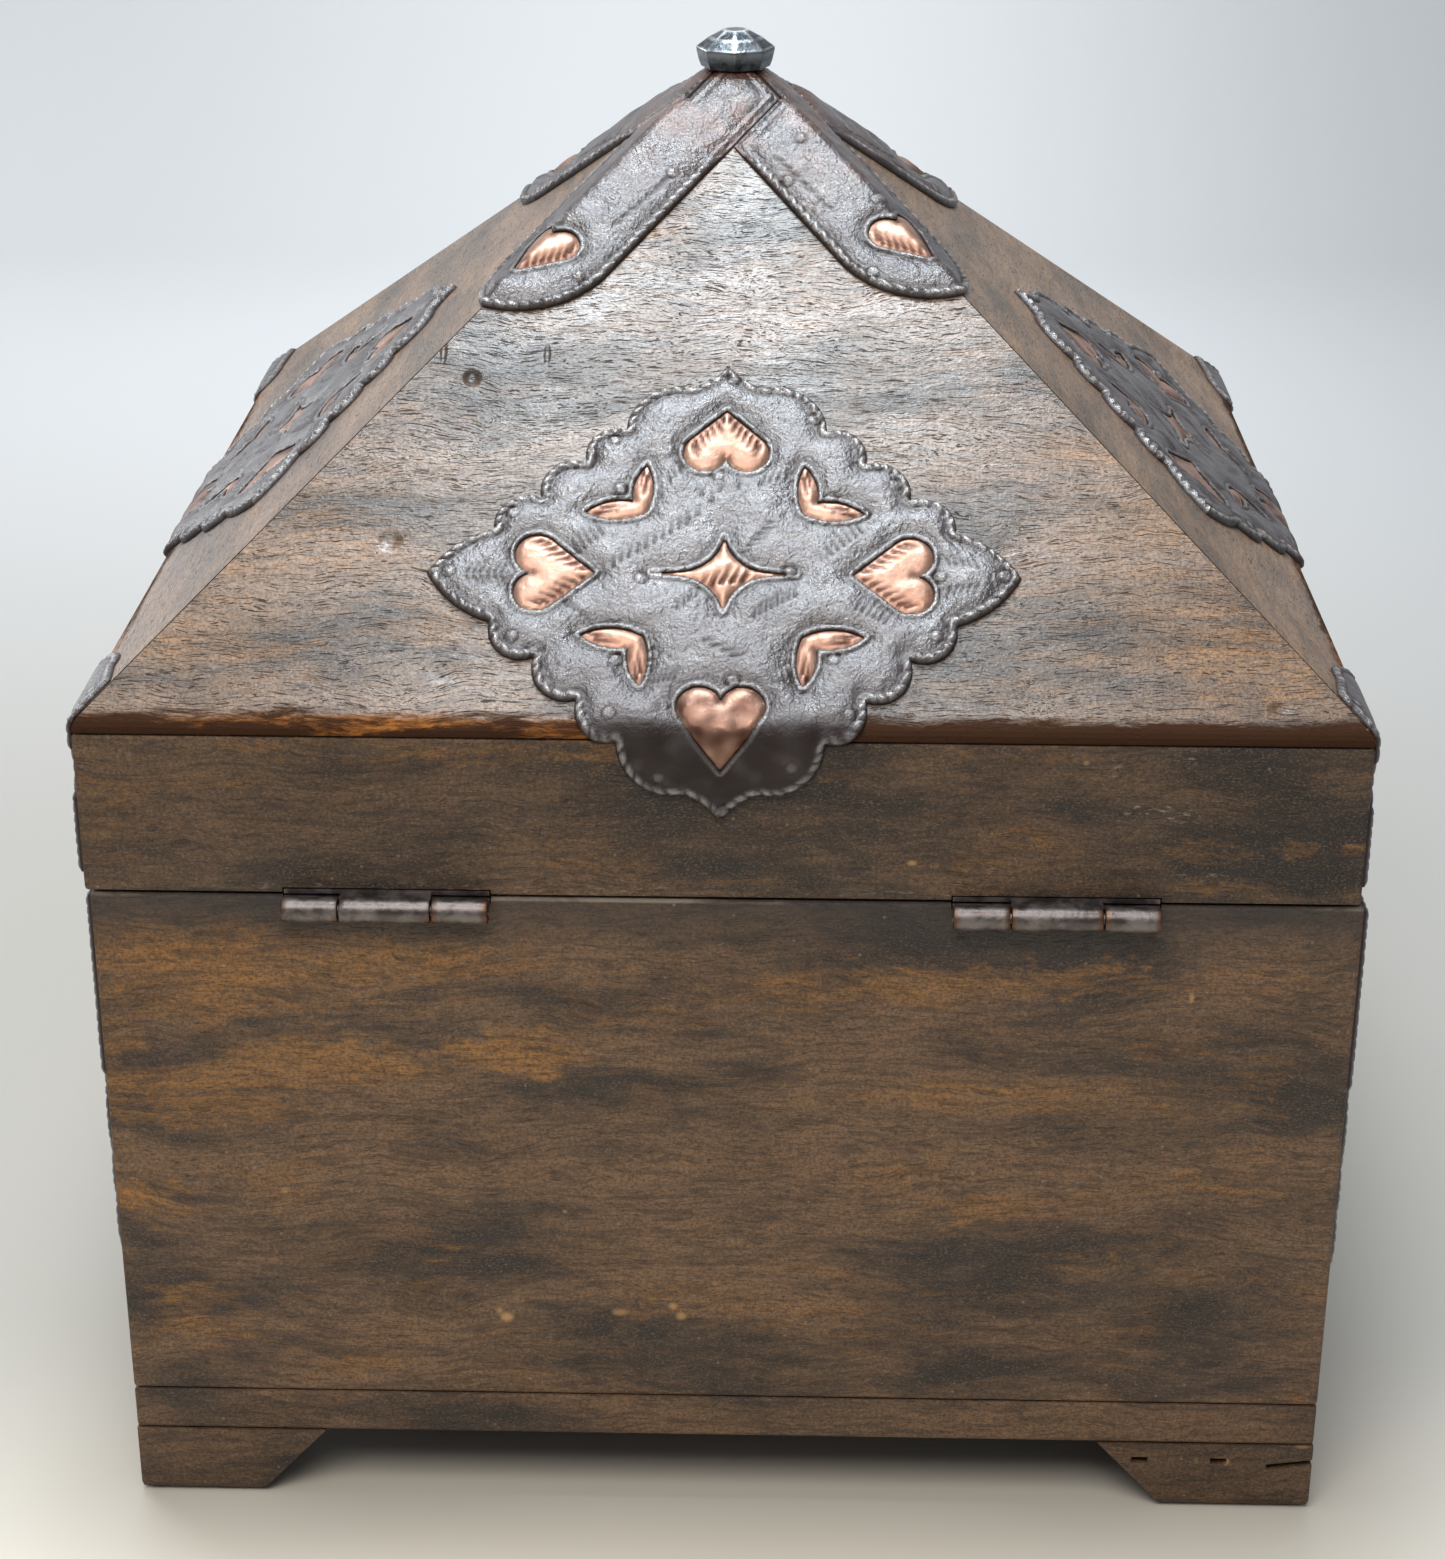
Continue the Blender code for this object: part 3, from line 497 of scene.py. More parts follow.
def planed_surface(r, hollow):
    """Soft waves, then dents where there are any, then fibres, grit and pores."""
    shape = r.bump(r.noise(r.stretched((40, 120, 120), source=r.grain), detail=3), 0.0003)
    if hollow:
        shape = r.bump(r.maths("SUBTRACT", 0.0, hollow), 0.0008, shape)
    shape = r.bump(r.fibres, 0.00005, shape)
    shape = r.bump(r.grit, 0.00005, shape)
    return r.bump(r.maths("SUBTRACT", 1.0, r.pore), 0.00006, shape)


# %% [markdown]
# ## One recipe for every board
# The layers are now put together. What differs from board to board is given as values: how
# light and how warm the wood is, how glossy and how waxed, and the marks in chosen places.

# %% Wood
def wood(name, turn=0.0, warm_spots=(), dark_spots=(), flecks=(), dents=(), warmth=0.5,
         tone=1.0, gloss=0.55, scratched=0.0, crossed=(), pored=0.45, eave=False, top=None,
         dusty=(), waxed=0.4, burnt_spots=(), clouded=(0.36, 0.60)):
    """Waxed wood with its grain along X, or along Y when it is turned."""
    r = Recipe(name)
    read_grain(r, turn)
    shades = [tuple(tone * part for part in colour) for colour in (DARK, BROWN, ORANGE)]
    dark = shades[0]
    colour = broad_figure(r, shades, clouded, warmth, warm_spots, dark_spots)
    colour = fine_grain(r, colour, dark, turn, pored, scratched, crossed)
    if eave:
        band, edge_colour = worn_eave(r, turn, burnt_spots)
        colour = r.mix(band, colour, edge_colour)
    if top:
        colour = darkened_top(r, colour, top)
    if dusty:
        colour = dusty_dashes(r, colour, dusty)
    if flecks:
        colour = r.mix(patches(r, flecks), colour, FRESH_WOOD)
    hollow = patches(r, dents)
    if hollow:
        colour = r.mix(r.maths("MULTIPLY", hollow, 0.7), colour, dark)
    colour = strewn_specks(r, colour)

    rough = r.ramp(r.noise(r.place, scale=60, detail=5), 0.3, 0.7, gloss - 0.05, gloss + 0.07)
    rough = r.maths("ADD", rough, r.maths("MULTIPLY", r.pore, 0.25))
    if eave:
        rough = r.maths("ADD", rough, r.maths("MULTIPLY", band, 0.3))
        waxed = waxed_slope(r, waxed, turn, band)
    r.feed(r.shader.inputs["Specular IOR Level"], waxed)
    return r.finish(colour, rough, planed_surface(r, hollow))


# %% [markdown]
# ## Where the marks are
# The marks of the back are read off the photograph: each is a place, a size and a
# strength. The front and the sides don't show theirs, so they only get the even finish, and
# so do the feet, apart from the damaged one, whose hole and split show fresh wood.

# %% Marks of the body
BODY_WARM = (
    (97, 121, 24, 9, .27), (60, 121.5, 32, 4.5, .24), (92, 112, 26, 6, .18),
    (38, 102, 13, 4.5, .28), (74, 100, 26, 5.5, .19), (99, 92, 18, 8, .18),
    (112, 69, 8, 6, .20), (84, 71, 10, 6, .12), (115, 98, 6, 12, .18),
    (-28, 117, 30, 6, .15), (-70, 119, 34, 4, .24), (-92, 120, 16, 4, .16),
    (-35, 77.5, 9, 2.5, .18), (-50, 69.7, 14, 3, .17), (-90, 75, 22, 2.5, .14),
    (-53, 94, 25, 5, .08), (-86, 52, 12, 5, .10), (-99, 83, 14, 5, .10),
    (100, 42, 14, 8, .20), (72, 31, 12, 3.5, .17), (23, 60, 10, 5, .10),
    (14, 44.5, 11, 2.5, .16), (-113, 27, 6, 3, .2))
BODY_DARK = (
    (-115, 100, 9, 38, .14), (0, 127, 60, 6, .10),
    (57, 107, 12, 5, .28), (-52, 126, 32, 5, .18), (-114, 125, 8, 10, .2), (4, 86, 45, 7, .10),
    (-6, 70, 22, 7, .14), (-53, 102, 40, 4, .12), (-102, 67, 22, 4, .18), (-95, 31, 30, 5, .18),
    (39, 70, 16, 7, .10))
BODY_FLECKS = ((42, 43.1, 1.3, 1.0, .8), (43.4, 44.6, .6, .8, .5), (19.7, 44.6, 1.6, .9, .5),
               (9.2, 46.2, .9, .8, .6), (7.6, 43.9, 1.1, .9, .6), (84.4, 71.4, 1.0, .7, .35),
               (30.1, 67.5, .5, .4, .4), (1.0, 51.5, .5, .5, .4), (-88, 116, .5, 1.2, .5))
print(len(BODY_WARM), "light and", len(BODY_DARK), "dark patches on the back of the body")

# %% Marks of the lid and of the damaged foot
RIM_WARM = (
    (60, 166, 40, 2.6, .20), (19, 165.5, 8, 2.5, .20), (100, 160, 14, 7, .10),
    (29.5, 145, 22, 4, .14), (112, 156, 4, 10, .14), (-54, 149.3, 6, 2.2, .26),
    (-51, 145, 16, 3.5, .18), (-90, 146, 10, 2.5, .17), (-108, 147.5, 7, 3.5, .24),
    (-66, 166, 30, 2, .10), (-38, 164, 8, 3, .10), (-92, 140.5, 12, 2, .12))
RIM_DARK = ((53, 147, 25, 7, .15), (95, 154, 18, 4, .18), (-65, 156, 2, 4.5, .3),
            (-22, 155, 20, 7, .12), (88, 163, 5, 1.6, .2), (-84, 152, 34, 16, .10))
RIM_DUST = ((55, 136.4, 40, 1.6, .35), (20, 136.4, 25, 1.6, .25), (-45, 136.4, 25, 1.6, .2),
            (-76, 154.2, 3.2, 2.4, .5), (-82.5, 154, 3.6, 2.6, .5), (-71, 163, 1.5, 3, .4),
            (-85, 164, 1.2, 2.4, .4), (-88, 141, 5, 1.6, .35))
EAVE_BURNT = ((-75, 169, 45, 14, .22), (-30, 169, 20, 14, .12), (30, 169, 30, 14, .02))
RIM_FLECKS = ((-35.1, 143.1, .9, .6, .6), (-66, 163.5, .6, .5, .4))
SLOPE_WARM = (
    (79, 191, 22, 11, .13), (92, 181, 20, 8, .16), (56, 183, 14, 4, .10),
    (66, 205, 18, 9, .14), (-52, 215, 12, 7, .13), (-67, 205, 16, 9, .17),
    (-76, 195, 18, 9, .17), (-84, 187, 16, 8, .14), (-94, 180, 16, 6, .14),
    (-43, 174.7, 20, 3, .10), (-104, 175, 10, 3.5, .2), (18, 236, 9, 12, .12),
    (-16, 236, 4, 12, .1))
SLOPE_CROSSED = ((-48, 210, 26, 16, 1.0), (-70, 192, 22, 12, .7), (38, 208, 20, 12, .6),
                 (60, 190, 26, 8, .35))
SLOPE_DARK = ((45, 200, 14, 3, .08), (70, 187, 18, 2, .08))
SLOPE_DENTS = ((49.2, 217.5, 1.5, 1.1, 1.0), (55.0, 221.3, .6, 1.8, .3),
               (50.4, 176.3, 3.4, 1.4, .2), (62.5, 194.2, 2.0, 1.3, .5),
               (35.0, 221.0, .6, 1.4, .25), (-101, 172.6, 2.0, .8, .5))
FOOT_FRESH = ((-100.4, 11.6, 1.5, .8, .40), (-101.6, 11.2, .7, .9, .5),
              (-112.5, 15.9, 4.2, .5, .35), (-116.5, 15.4, 1.6, .7, .40),
              (-95.5, 11.4, .5, .8, .2))
print(len(SLOPE_WARM) + len(RIM_WARM), "light patches on the back of the lid")

# %% [markdown]
# ## Finishing the boards
# The slopes are the most polished boards and have the most open pores. The rim is darker than
# the body. The side slopes are more waxed than the back one, and their colour is painted
# lighter as a painted sheen, because a low view over a board shows more shine and less colour.
# Boards that match share one material.

# %% Boards
QUARTER = pi / 2
WOODS = {
    "body_back": wood("wood_body_back", warm_spots=BODY_WARM, dark_spots=BODY_DARK,
                      flecks=BODY_FLECKS, warmth=0.46, tone=1.12, top=Z_BODY_TOP * MM),
    "body_front": wood("wood_body_front", warmth=0.5, tone=1.12, top=Z_BODY_TOP * MM,
                       clouded=(0.30, 0.66)),
    "rim_back": wood("wood_rim_back", warm_spots=RIM_WARM, dark_spots=RIM_DARK,
                     flecks=RIM_FLECKS, dusty=RIM_DUST, warmth=0.42, tone=0.77),
    "rim_front": wood("wood_rim_front", warmth=0.42, tone=0.77),
    "slope_back": wood("wood_slope_back", warm_spots=SLOPE_WARM, dark_spots=SLOPE_DARK,
                       dents=SLOPE_DENTS, crossed=SLOPE_CROSSED, burnt_spots=EAVE_BURNT,
                       warmth=0.40, tone=1.10, gloss=0.36, scratched=0.18, pored=0.9,
                       eave=True, waxed=0.88),
    "slope_front": wood("wood_slope_front", warmth=0.40, tone=1.10, gloss=0.36, scratched=0.25,
                        pored=0.9, eave=True, waxed=0.88),
    "bottom_board": wood("wood_bottom", warmth=0.40),
    "foot_back_left": wood("wood_foot_damaged", flecks=FOOT_FRESH, warmth=0.40, tone=0.66),
}
SHARED_WOODS = (
    (("foot_back_right", "foot_front_left", "foot_front_right"),
     wood("wood_feet", warmth=0.45)),
    (("body_left", "body_right"),
     wood("wood_body_side", QUARTER, warmth=0.48, tone=1.10, top=Z_BODY_TOP * MM,
          clouded=(0.28, 0.68))),
    (("rim_left", "rim_right"),
     wood("wood_rim_side", QUARTER, warmth=0.42, tone=0.80, clouded=(0.30, 0.66))),
    # The lighter tone of the side slopes is a painted sheen.
    (("slope_left", "slope_right"),
     wood("wood_slope_side_painted_sheen", QUARTER, warmth=0.35, tone=1.7, gloss=0.40, scratched=0.3,
          pored=0.7, eave=True, waxed=1.5, clouded=(0.26, 0.70))))
for names, material in SHARED_WOODS:
    WOODS.update(dict.fromkeys(names, material))


def wear(node, material):
    """Gives a piece one material."""
    node.data.materials.clear()
    node.data.materials.append(material)


for name, material in WOODS.items():
    wear(NODES[name], material)
print(len(WOODS), "wooden pieces finished")

# %% [markdown]
# ## The sheet iron
# The sheet iron is almost black with a purple-brown cast. Its raised edges are rubbed bright
# and dirt sits in the grooves, so the material reads two numbers that the relief below leaves
# on every point: how polished it is, and how grimy or painted in shade, which is how the part
# folded over the eave is darkened. Near the peak it is rusty. Reflection carries most of its
# look, so the finest hammering is a bump of two noises.

# %% Sheet iron
IRON_DEEP, IRON_PLAIN = (0.036, 0.027, 0.028), (0.060, 0.048, 0.050)
IRON_RUSTY, PEAK_RUSTY = (0.070, 0.036, 0.024), (0.115, 0.048, 0.028)
IRON_RUBBED, IRON_DIRT_AND_SHADE = (0.36, 0.335, 0.32), (0.020, 0.013, 0.011)


def sheet_iron():
    """Dark hammered iron, rubbed bright where it is polished, and dull where it is grimy or
    painted in shade.
    """
    r = Recipe("sheet_iron")
    broad = r.noise(r.place, scale=60, detail=5, rough=0.6)
    fine = r.noise(r.place, scale=1250, detail=3, rough=0.65)
    colour = r.mix(r.ramp(broad, 0.35, 0.65), IRON_DEEP, IRON_PLAIN)
    rust = r.noise(r.place, scale=95, detail=6, rough=0.7)
    colour = r.mix(r.ramp(rust, 0.54, 0.72, 0.0, 0.5), colour, IRON_RUSTY)
    peak = r.maths("MULTIPLY", r.ramp(r.axis("Z"), 0.2400, 0.2660), r.ramp(rust, 0.42, 0.60))
    colour = r.mix(r.maths("MULTIPLY", peak, 0.8), colour, PEAK_RUSTY)
    rubbed = r.maths("MULTIPLY", r.attribute("polish"), r.ramp(fine, 0.30, 0.62, 0.35, 1.0))
    colour = r.mix(rubbed, colour, IRON_RUBBED)
    colour = r.mix(r.attribute("grime_and_shade"), colour, IRON_DIRT_AND_SHADE)
    rough = r.ramp(r.noise(r.place, scale=120, detail=4), 0.3, 0.7, 0.25, 0.36)
    rough = r.maths("SUBTRACT", rough, r.maths("MULTIPLY", rubbed, 0.16))
    rough = r.maths("ADD", rough, r.maths("MULTIPLY", r.attribute("grime_and_shade"), 0.25))
    beaten = r.bump(r.noise(r.place, scale=330, detail=3), 0.00040)
    pitted = r.bump(fine, 0.00027, beaten)
    duller_low = r.ramp(r.axis("Z"), 0.172, 0.196, 0.68, 1.0)
    duller_high = r.ramp(r.axis("Z"), 0.212, 0.238, 1.0, 0.78)
    shine = r.maths("MULTIPLY", r.ramp(r.attribute("grime_and_shade"), 0.0, 1.0, 1.28, 0.2),
                    r.maths("MULTIPLY", duller_low, duller_high))
    r.feed(r.shader.inputs["Specular IOR Level"], shine)
    return r.finish(colour, rough, pitted, Metallic=0.15)


# %% [markdown]
# ## Copper, steel and the finial
# The copper is bright and pink, with dark tarnish in its strokes. The hinges are grey steel
# with rust at the ends of the knuckles, and the finial is polished iron whose ridges are the
# brightest. Only the tarnish, the rust and the ridges have a fixed place, and they are read
# from the mesh, as for the iron.

# %% Copper
COPPER_PINK, COPPER_DEEP = (0.355, 0.207, 0.150), (0.27, 0.142, 0.094)
TARNISH = (0.050, 0.014, 0.006)


def bright_copper():
    """Pink copper, almost black where it is grimy."""
    r = Recipe("bright_copper")
    broad = r.noise(r.place, scale=140, detail=4, rough=0.6)
    colour = r.mix(r.ramp(broad, 0.35, 0.70), COPPER_PINK, COPPER_DEEP)
    colour = r.mix(r.attribute("grime_and_shade"), colour, TARNISH)
    rough = r.ramp(r.noise(r.place, scale=500, detail=3), 0.3, 0.7, 0.34, 0.46)
    pitted = r.bump(r.noise(r.place, scale=420, detail=3), 0.00016)
    return r.finish(colour, rough, pitted, Metallic=0.65)


# %% Steel of the hinges and the finial
STEEL_DARK, STEEL_LIGHT = (0.085, 0.070, 0.066), (0.20, 0.175, 0.165)
STEEL_RUST = (0.115, 0.058, 0.034)
FACET_DARK, FACET_LIGHT = (0.045, 0.052, 0.058), (0.12, 0.135, 0.15)
RIDGE_BRIGHT = (0.52, 0.55, 0.57)


def worn_steel():
    """Grey steel with rust in patches and at the ends of the knuckles."""
    r = Recipe("worn_steel")
    broad = r.noise(r.place, scale=260, detail=5, rough=0.65)
    colour = r.mix(r.ramp(broad, 0.35, 0.65), STEEL_DARK, STEEL_LIGHT)
    rust = r.noise(r.place, scale=180, detail=5, rough=0.7)
    ends = r.maths("MULTIPLY", r.attribute("rust"), r.ramp(rust, 0.36, 0.52))
    rusty = r.maths("MAXIMUM", ends, r.ramp(rust, 0.60, 0.72, 0.0, 0.8))
    colour = r.mix(rusty, colour, STEEL_RUST)
    gloss = r.ramp(broad, 0.3, 0.7, 0.34, 0.55)
    pitted = r.bump(r.noise(r.place, scale=900, detail=3), 0.00008)
    return r.finish(colour, gloss, pitted, Metallic=0.9)


def finial_steel():
    """Polished dark facets with bright ridges between them."""
    r = Recipe("finial_steel")
    broad = r.noise(r.place, scale=330, detail=4, rough=0.6)
    colour = r.mix(r.ramp(broad, 0.35, 0.65), FACET_DARK, FACET_LIGHT)
    rubbed = r.maths("MULTIPLY", r.attribute("polish"), r.ramp(broad, 0.25, 0.55, 0.5, 1.0))
    colour = r.mix(rubbed, colour, RIDGE_BRIGHT)
    gloss = r.ramp(broad, 0.3, 0.7, 0.24, 0.40)
    pitted = r.bump(r.noise(r.place, scale=900, detail=3), 0.00010)
    return r.finish(colour, gloss, pitted, Metallic=0.95)


# %% [markdown]
# ## Putting the metals on
# The names of the frame's pieces tell what they are made of. All of them get their metal here,
# also those that are swapped for hammered ones below, so that no piece is ever left grey.

# %% Metals on the pieces
IRON = sheet_iron()
COPPER = bright_copper()
STEEL = worn_steel()
FINIAL_STEEL = finial_steel()
for name, node in NODES.items():
    if "copper" in name:
        wear(node, COPPER)
    elif name.startswith(("medallion", "strap", "corner", "plate", "finial")):
        wear(node, IRON)
    elif name.startswith("hinge"):
        wear(node, STEEL)
print("metals on", sum(not name.startswith(("body", "rim", "slope", "foot", "bottom"))
                       for name in NODES), "pieces")

# %% [markdown]
# ## Drawing the sheets again
# The flat solids of the iron sheets are cut from a few outlines: pointed leaves, scallops,
# hearts, sprigs and a star. The hammered sheets follow the same outlines, so the drawing is
# repeated here, in millimetres, with rounder arcs. On each drawing +v points up the slope.

# %% Thicknesses and gaps
GAP = 0.3
COPPER_THICK = 0.3
UNDER_IRON = 2 * GAP + COPPER_THICK
EDGE_TOUCH = 0.04
print("iron lies", round(UNDER_IRON, 2), "mm above the wood, over copper of", COPPER_THICK)

# %% [markdown]
# ## Arcs and hearts
# All outlines are straight lines and arcs of a circle. An arc is given by its ends and by how
# far it bows, as a share of its chord, which is how one would set it out with a string. A
# heart is two circles whose tangents meet in the point. Bezier curves would do as well, but
# arcs keep the scallops even.

# %% Arcs and hearts
LOBE_PLUMP = 1.03
CLEFT = 0.22


def arc(start, end, bow, steps=9):
    """Points after start, up to end, bowed to the right of the way by a share of the chord."""
    start, end = Vector(start), Vector(end)
    chord = (end - start).length
    way = (end - start) / chord
    side = Vector((way.y, -way.x)) * (1 if bow > 0 else -1)
    rise = abs(bow) * chord
    radius = (chord * chord / 4 + rise * rise) / (2 * rise)
    centre = (start + end) / 2 - side * (radius - rise)
    spread = 2 * asin(chord / 2 / radius)
    points = []
    for step in range(1, steps + 1):
        angle = spread * (step / steps - 0.5)
        points.append(tuple(centre + side * radius * cos(angle) + way * radius * sin(angle)))
    return points


def four_ways(quarter, fall=1.0):
    """A closed outline from the quarter between +u and +v. The lower half is stretched."""
    top = quarter + [(-u, v) for u, v in reversed(quarter[:-1])]
    bottom = [(u, -v * fall) for u, v in reversed(top[1:-1])]
    return top + bottom


def heart(point, towards, width, steps=14):
    """A heart from its point towards the far side of its lobes."""
    point, towards = Vector(point), Vector(towards)
    length = (towards - point).length
    up = (towards - point) / length
    right = Vector((up.y, -up.x))
    lobe = width / 4 * LOBE_PLUMP
    middle = width / 2 - lobe
    rise = length - lobe
    start = atan2(-rise, -middle) + acos(lobe / hypot(middle, rise))
    cleft = pi - asin(CLEFT)
    side = [(0.0, 0.0)]
    for step in range(steps):
        angle = start + (cleft - start) * step / (steps - 1)
        side.append((max(middle + lobe * cos(angle), 0), rise + lobe * sin(angle)))
    outline = side + [(-x, y) for x, y in reversed(side[1:-1])]
    return [tuple(point + right * x + up * y) for x, y in outline]


print("a heart is drawn with", len(heart((0, 0), (0, 1), 1)), "points")


# %% [markdown]
# ## How a relief is made
# A flat lattice of small faces is cut to the drawing. Every point then knows how far it is
# from the nearest edge, and that one distance gives most of the relief: a rope-like bead
# along each edge, a groove beside it, and a cushion further in. Chisel strokes and nail heads
# are added where they belong. The same numbers also tell the material what is polished and
# what is dirty or painted in shade. Last, the sheet is closed below and bent over the edge of the
# lid.

# %% Measuring a drawing
class Drawing:
    """The outlines of a sheet: the first is its edge, the rest are holes."""

    def __init__(self, outlines):
        starts, ends, which, along = [], [], [], []
        for index, outline in enumerate(outlines):
            start = np.array(outline, float)
            end = np.roll(start, -1, axis=0)
            span = np.linalg.norm(end - start, axis=1)
            starts.append(start)
            ends.append(end)
            which.append(np.full(len(start), index))
            along.append(np.cumsum(span) - span)
        self.starts, self.ends = np.vstack(starts), np.vstack(ends)
        self.which, self.along = np.concatenate(which), np.concatenate(along)
        self.low, self.high = self.starts.min(0), self.starts.max(0)

    def near(self, points):
        """Distance to the nearest edge, the point on it, its outline, and the way along it."""
        way = self.ends - self.starts
        span = (way ** 2).sum(1)
        results = []
        for some in np.array_split(points, max(1, len(points) * len(way) // 3000000)):
            offset = some[:, None] - self.starts
            share = np.clip((offset * way).sum(2) / span, 0, 1)
            gap = offset - share[..., None] * way
            distance = np.hypot(gap[..., 0], gap[..., 1])
            best = distance.argmin(1)
            row = np.arange(len(some))
            part = share[row, best]
            spot = self.starts[best] + part[:, None] * way[best]
            travel = self.along[best] + part * np.sqrt(span[best])
            results.append((distance[row, best], spot, self.which[best], travel))
        return [np.concatenate(part) for part in zip(*results)]

    def holds(self, points):
        """Whether each point is on the sheet: a ray from it crosses an odd number of edges."""
        odd = np.zeros(len(points), bool)
        x, y = points.T
        for (x0, y0), (x1, y1) in zip(self.starts, self.ends):
            if y0 != y1:
                crosses = (y0 > y) != (y1 > y)
                odd ^= crosses & (x < (x1 - x0) * (y - y0) / (y1 - y0) + x0)
        return odd


def grainy(points, size, seed):
    """Smooth noise between about -1 and 1, with features of a size in millimetres."""
    return np.array([noise.noise((u / size, v / size, seed * 7.3)) for u, v in points])


# %% [markdown]
# ## Cutting a lattice to the drawing
# A grid of small squares loses the faces whose middle is off the sheet, and its outer points
# then move onto the nearest edge of the drawing. A boolean cut would leave long thin faces
# along the edges, which shade badly once they are raised. Faces that hang on by one corner
# are taken away first, because no clean wall can drop from them.

# %% A lattice cut to a drawing
def loose_ends(bm):
    """Takes away faces that hang on by one corner, so that every edge loop is clean."""
    for _ in range(3):
        pinched = [vert for vert in bm.verts
                   if sum(edge.is_boundary for edge in vert.link_edges) > 2]
        extra = {min(vert.link_faces, key=lambda face: face.calc_center_median().y)
                 for vert in pinched if vert.link_faces}
        bmesh.ops.delete(bm, geom=list(extra), context="FACES")


def lattice(drawing, pitch):
    """Small square faces inside the drawing, with the outer points moved onto its edges."""
    low, high = drawing.low - pitch, drawing.high + pitch
    counts = [int(np.ceil(size / pitch)) for size in high - low]
    bm = bmesh.new()
    bmesh.ops.create_grid(bm, x_segments=counts[0], y_segments=counts[1], size=0.5)
    bmesh.ops.scale(bm, verts=bm.verts, vec=(*(high - low), 1))
    bmesh.ops.translate(bm, verts=bm.verts, vec=(*((low + high) / 2), 0))
    middles = np.array([face.calc_center_median()[:2] for face in bm.faces])
    outside = [face for face, held in zip(bm.faces, drawing.holds(middles)) if not held]
    bmesh.ops.delete(bm, geom=outside, context="FACES")
    loose_ends(bm)
    rim = [vert for vert in bm.verts if vert.is_boundary]
    spots = drawing.near(np.array([vert.co[:2] for vert in rim]))[1]
    for vert, spot in zip(rim, spots):
        vert.co.xy = spot
    bmesh.ops.dissolve_degenerate(bm, dist=pitch / 50, edges=bm.edges)
    return bm


# %% [markdown]
# ## From a lattice to a closed sheet
# The lattice is raised to the relief, and walls drop from its edges. The side that lies on
# the wood is never seen, so a few large faces close it, which halves the number of faces. The
# copper is fine only inside the holes, and a few flat faces around them join these islands.

# %% From a lattice to a closed sheet
def loop_below(bm, rim):
    """Walls that drop from a rim. Returns their lower points and edges."""
    dropped = bmesh.ops.extrude_edge_only(bm, edges=rim)["geom"]
    lows = {item for item in dropped if isinstance(item, bmesh.types.BMVert)}
    return lows, [edge for edge in bm.edges if all(vert in lows for vert in edge.verts)]


def closed_sheet(bm, relief, underside):
    """Raises the lattice and closes it below with walls and a few large faces.

    relief takes points and gives heights, polish and grime. underside gives heights.
    """
    polish = bm.verts.layers.float.new("polish")
    grime_and_shade = bm.verts.layers.float.new("grime_and_shade")
    flat = np.array([vert.co[:2] for vert in bm.verts])
    for vert, height, shine, dirt in zip(bm.verts, *relief(flat)):
        vert.co.z, vert[polish], vert[grime_and_shade] = height, shine, dirt
    lows, ring = loop_below(bm, [edge for edge in bm.edges if edge.is_boundary])
    lows = list(lows)
    for vert, height in zip(lows, underside(np.array([vert.co[:2] for vert in lows]))):
        vert.co.z, vert[polish], vert[grime_and_shade] = height, 0.0, 0.8
    bmesh.ops.triangle_fill(bm, edges=ring, use_beauty=True, use_dissolve=False)
    return bm


def backed_sheet(bm, relief, edge_points, low, high):
    """Raises the lattice in its holes, and joins the holes with one flat sheet."""
    grime_and_shade = bm.verts.layers.float.new("grime_and_shade")
    flat = np.array([vert.co[:2] for vert in bm.verts])
    for vert, height, dirt in zip(bm.verts, *relief(flat)):
        vert.co.z, vert[grime_and_shade] = height, dirt
    islands = [edge for edge in bm.edges if edge.is_boundary]
    around = [bm.verts.new((u, v, high)) for u, v in edge_points]
    edge = [bm.edges.new((around[index - 1], around[index])) for index in range(len(around))]
    bmesh.ops.triangle_fill(bm, edges=islands + edge, use_beauty=True, use_dissolve=False)
    lows, ring = loop_below(bm, edge)
    for vert in lows:
        vert.co.z = low
    bmesh.ops.triangle_fill(bm, edges=ring, use_beauty=True, use_dissolve=False)
    return bm


# %% [markdown]
# ## Bending a sheet over an edge
# A sheet that folds over an eave or a ridge is made flat and bent last, as the real one was.
# The edge of the wood is worn round, so the bend is an arc, and the relief stands out from it
# along the arc's own radius. The large faces below are cut along the bend first, so that they
# can follow it.

# %% Folds
EAVE_WEAR = 1.4
HIP_WEAR = 0.6
LARGE_FACE = 0.3


class Fold:
    """An edge of the lid. u runs along it, v away from it up side a, t out of the wood."""

    def __init__(self, point, along, normal_a, normal_b, wear):
        angle = normal_a.angle(normal_b)
        self.point, self.along, self.wear = point, along, wear
        self.normal_a, self.normal_b = normal_a, normal_b
        self.out_a, self.out_b = normal_a.cross(along), along.cross(normal_b)
        self.radius = wear / tan(angle / 2)
        self.reach = self.radius * angle / 2
        self.centre = point + self.out_a * wear - normal_a * self.radius

    def lines(self, steps=6):
        """Where a flat face has to be cut so that it can bend."""
        return [self.reach * (2 * step / steps - 1) for step in range(steps + 1)]

    def at(self, u, v, t):
        """Where a point of the flat drawing lies once it is bent."""
        base = self.point + self.along * u
        flat = self.wear + abs(v) - self.reach
        if v >= self.reach:
            return base + self.out_a * flat + self.normal_a * t
        if v <= -self.reach:
            return base + self.out_b * flat + self.normal_b * t
        middle = (self.normal_a + self.normal_b).normalized()
        across = (self.normal_a - self.normal_b).normalized()
        turn = v / self.radius
        normal = middle * cos(turn) + across * sin(turn)
        return self.centre + self.along * u + normal * (self.radius + t)


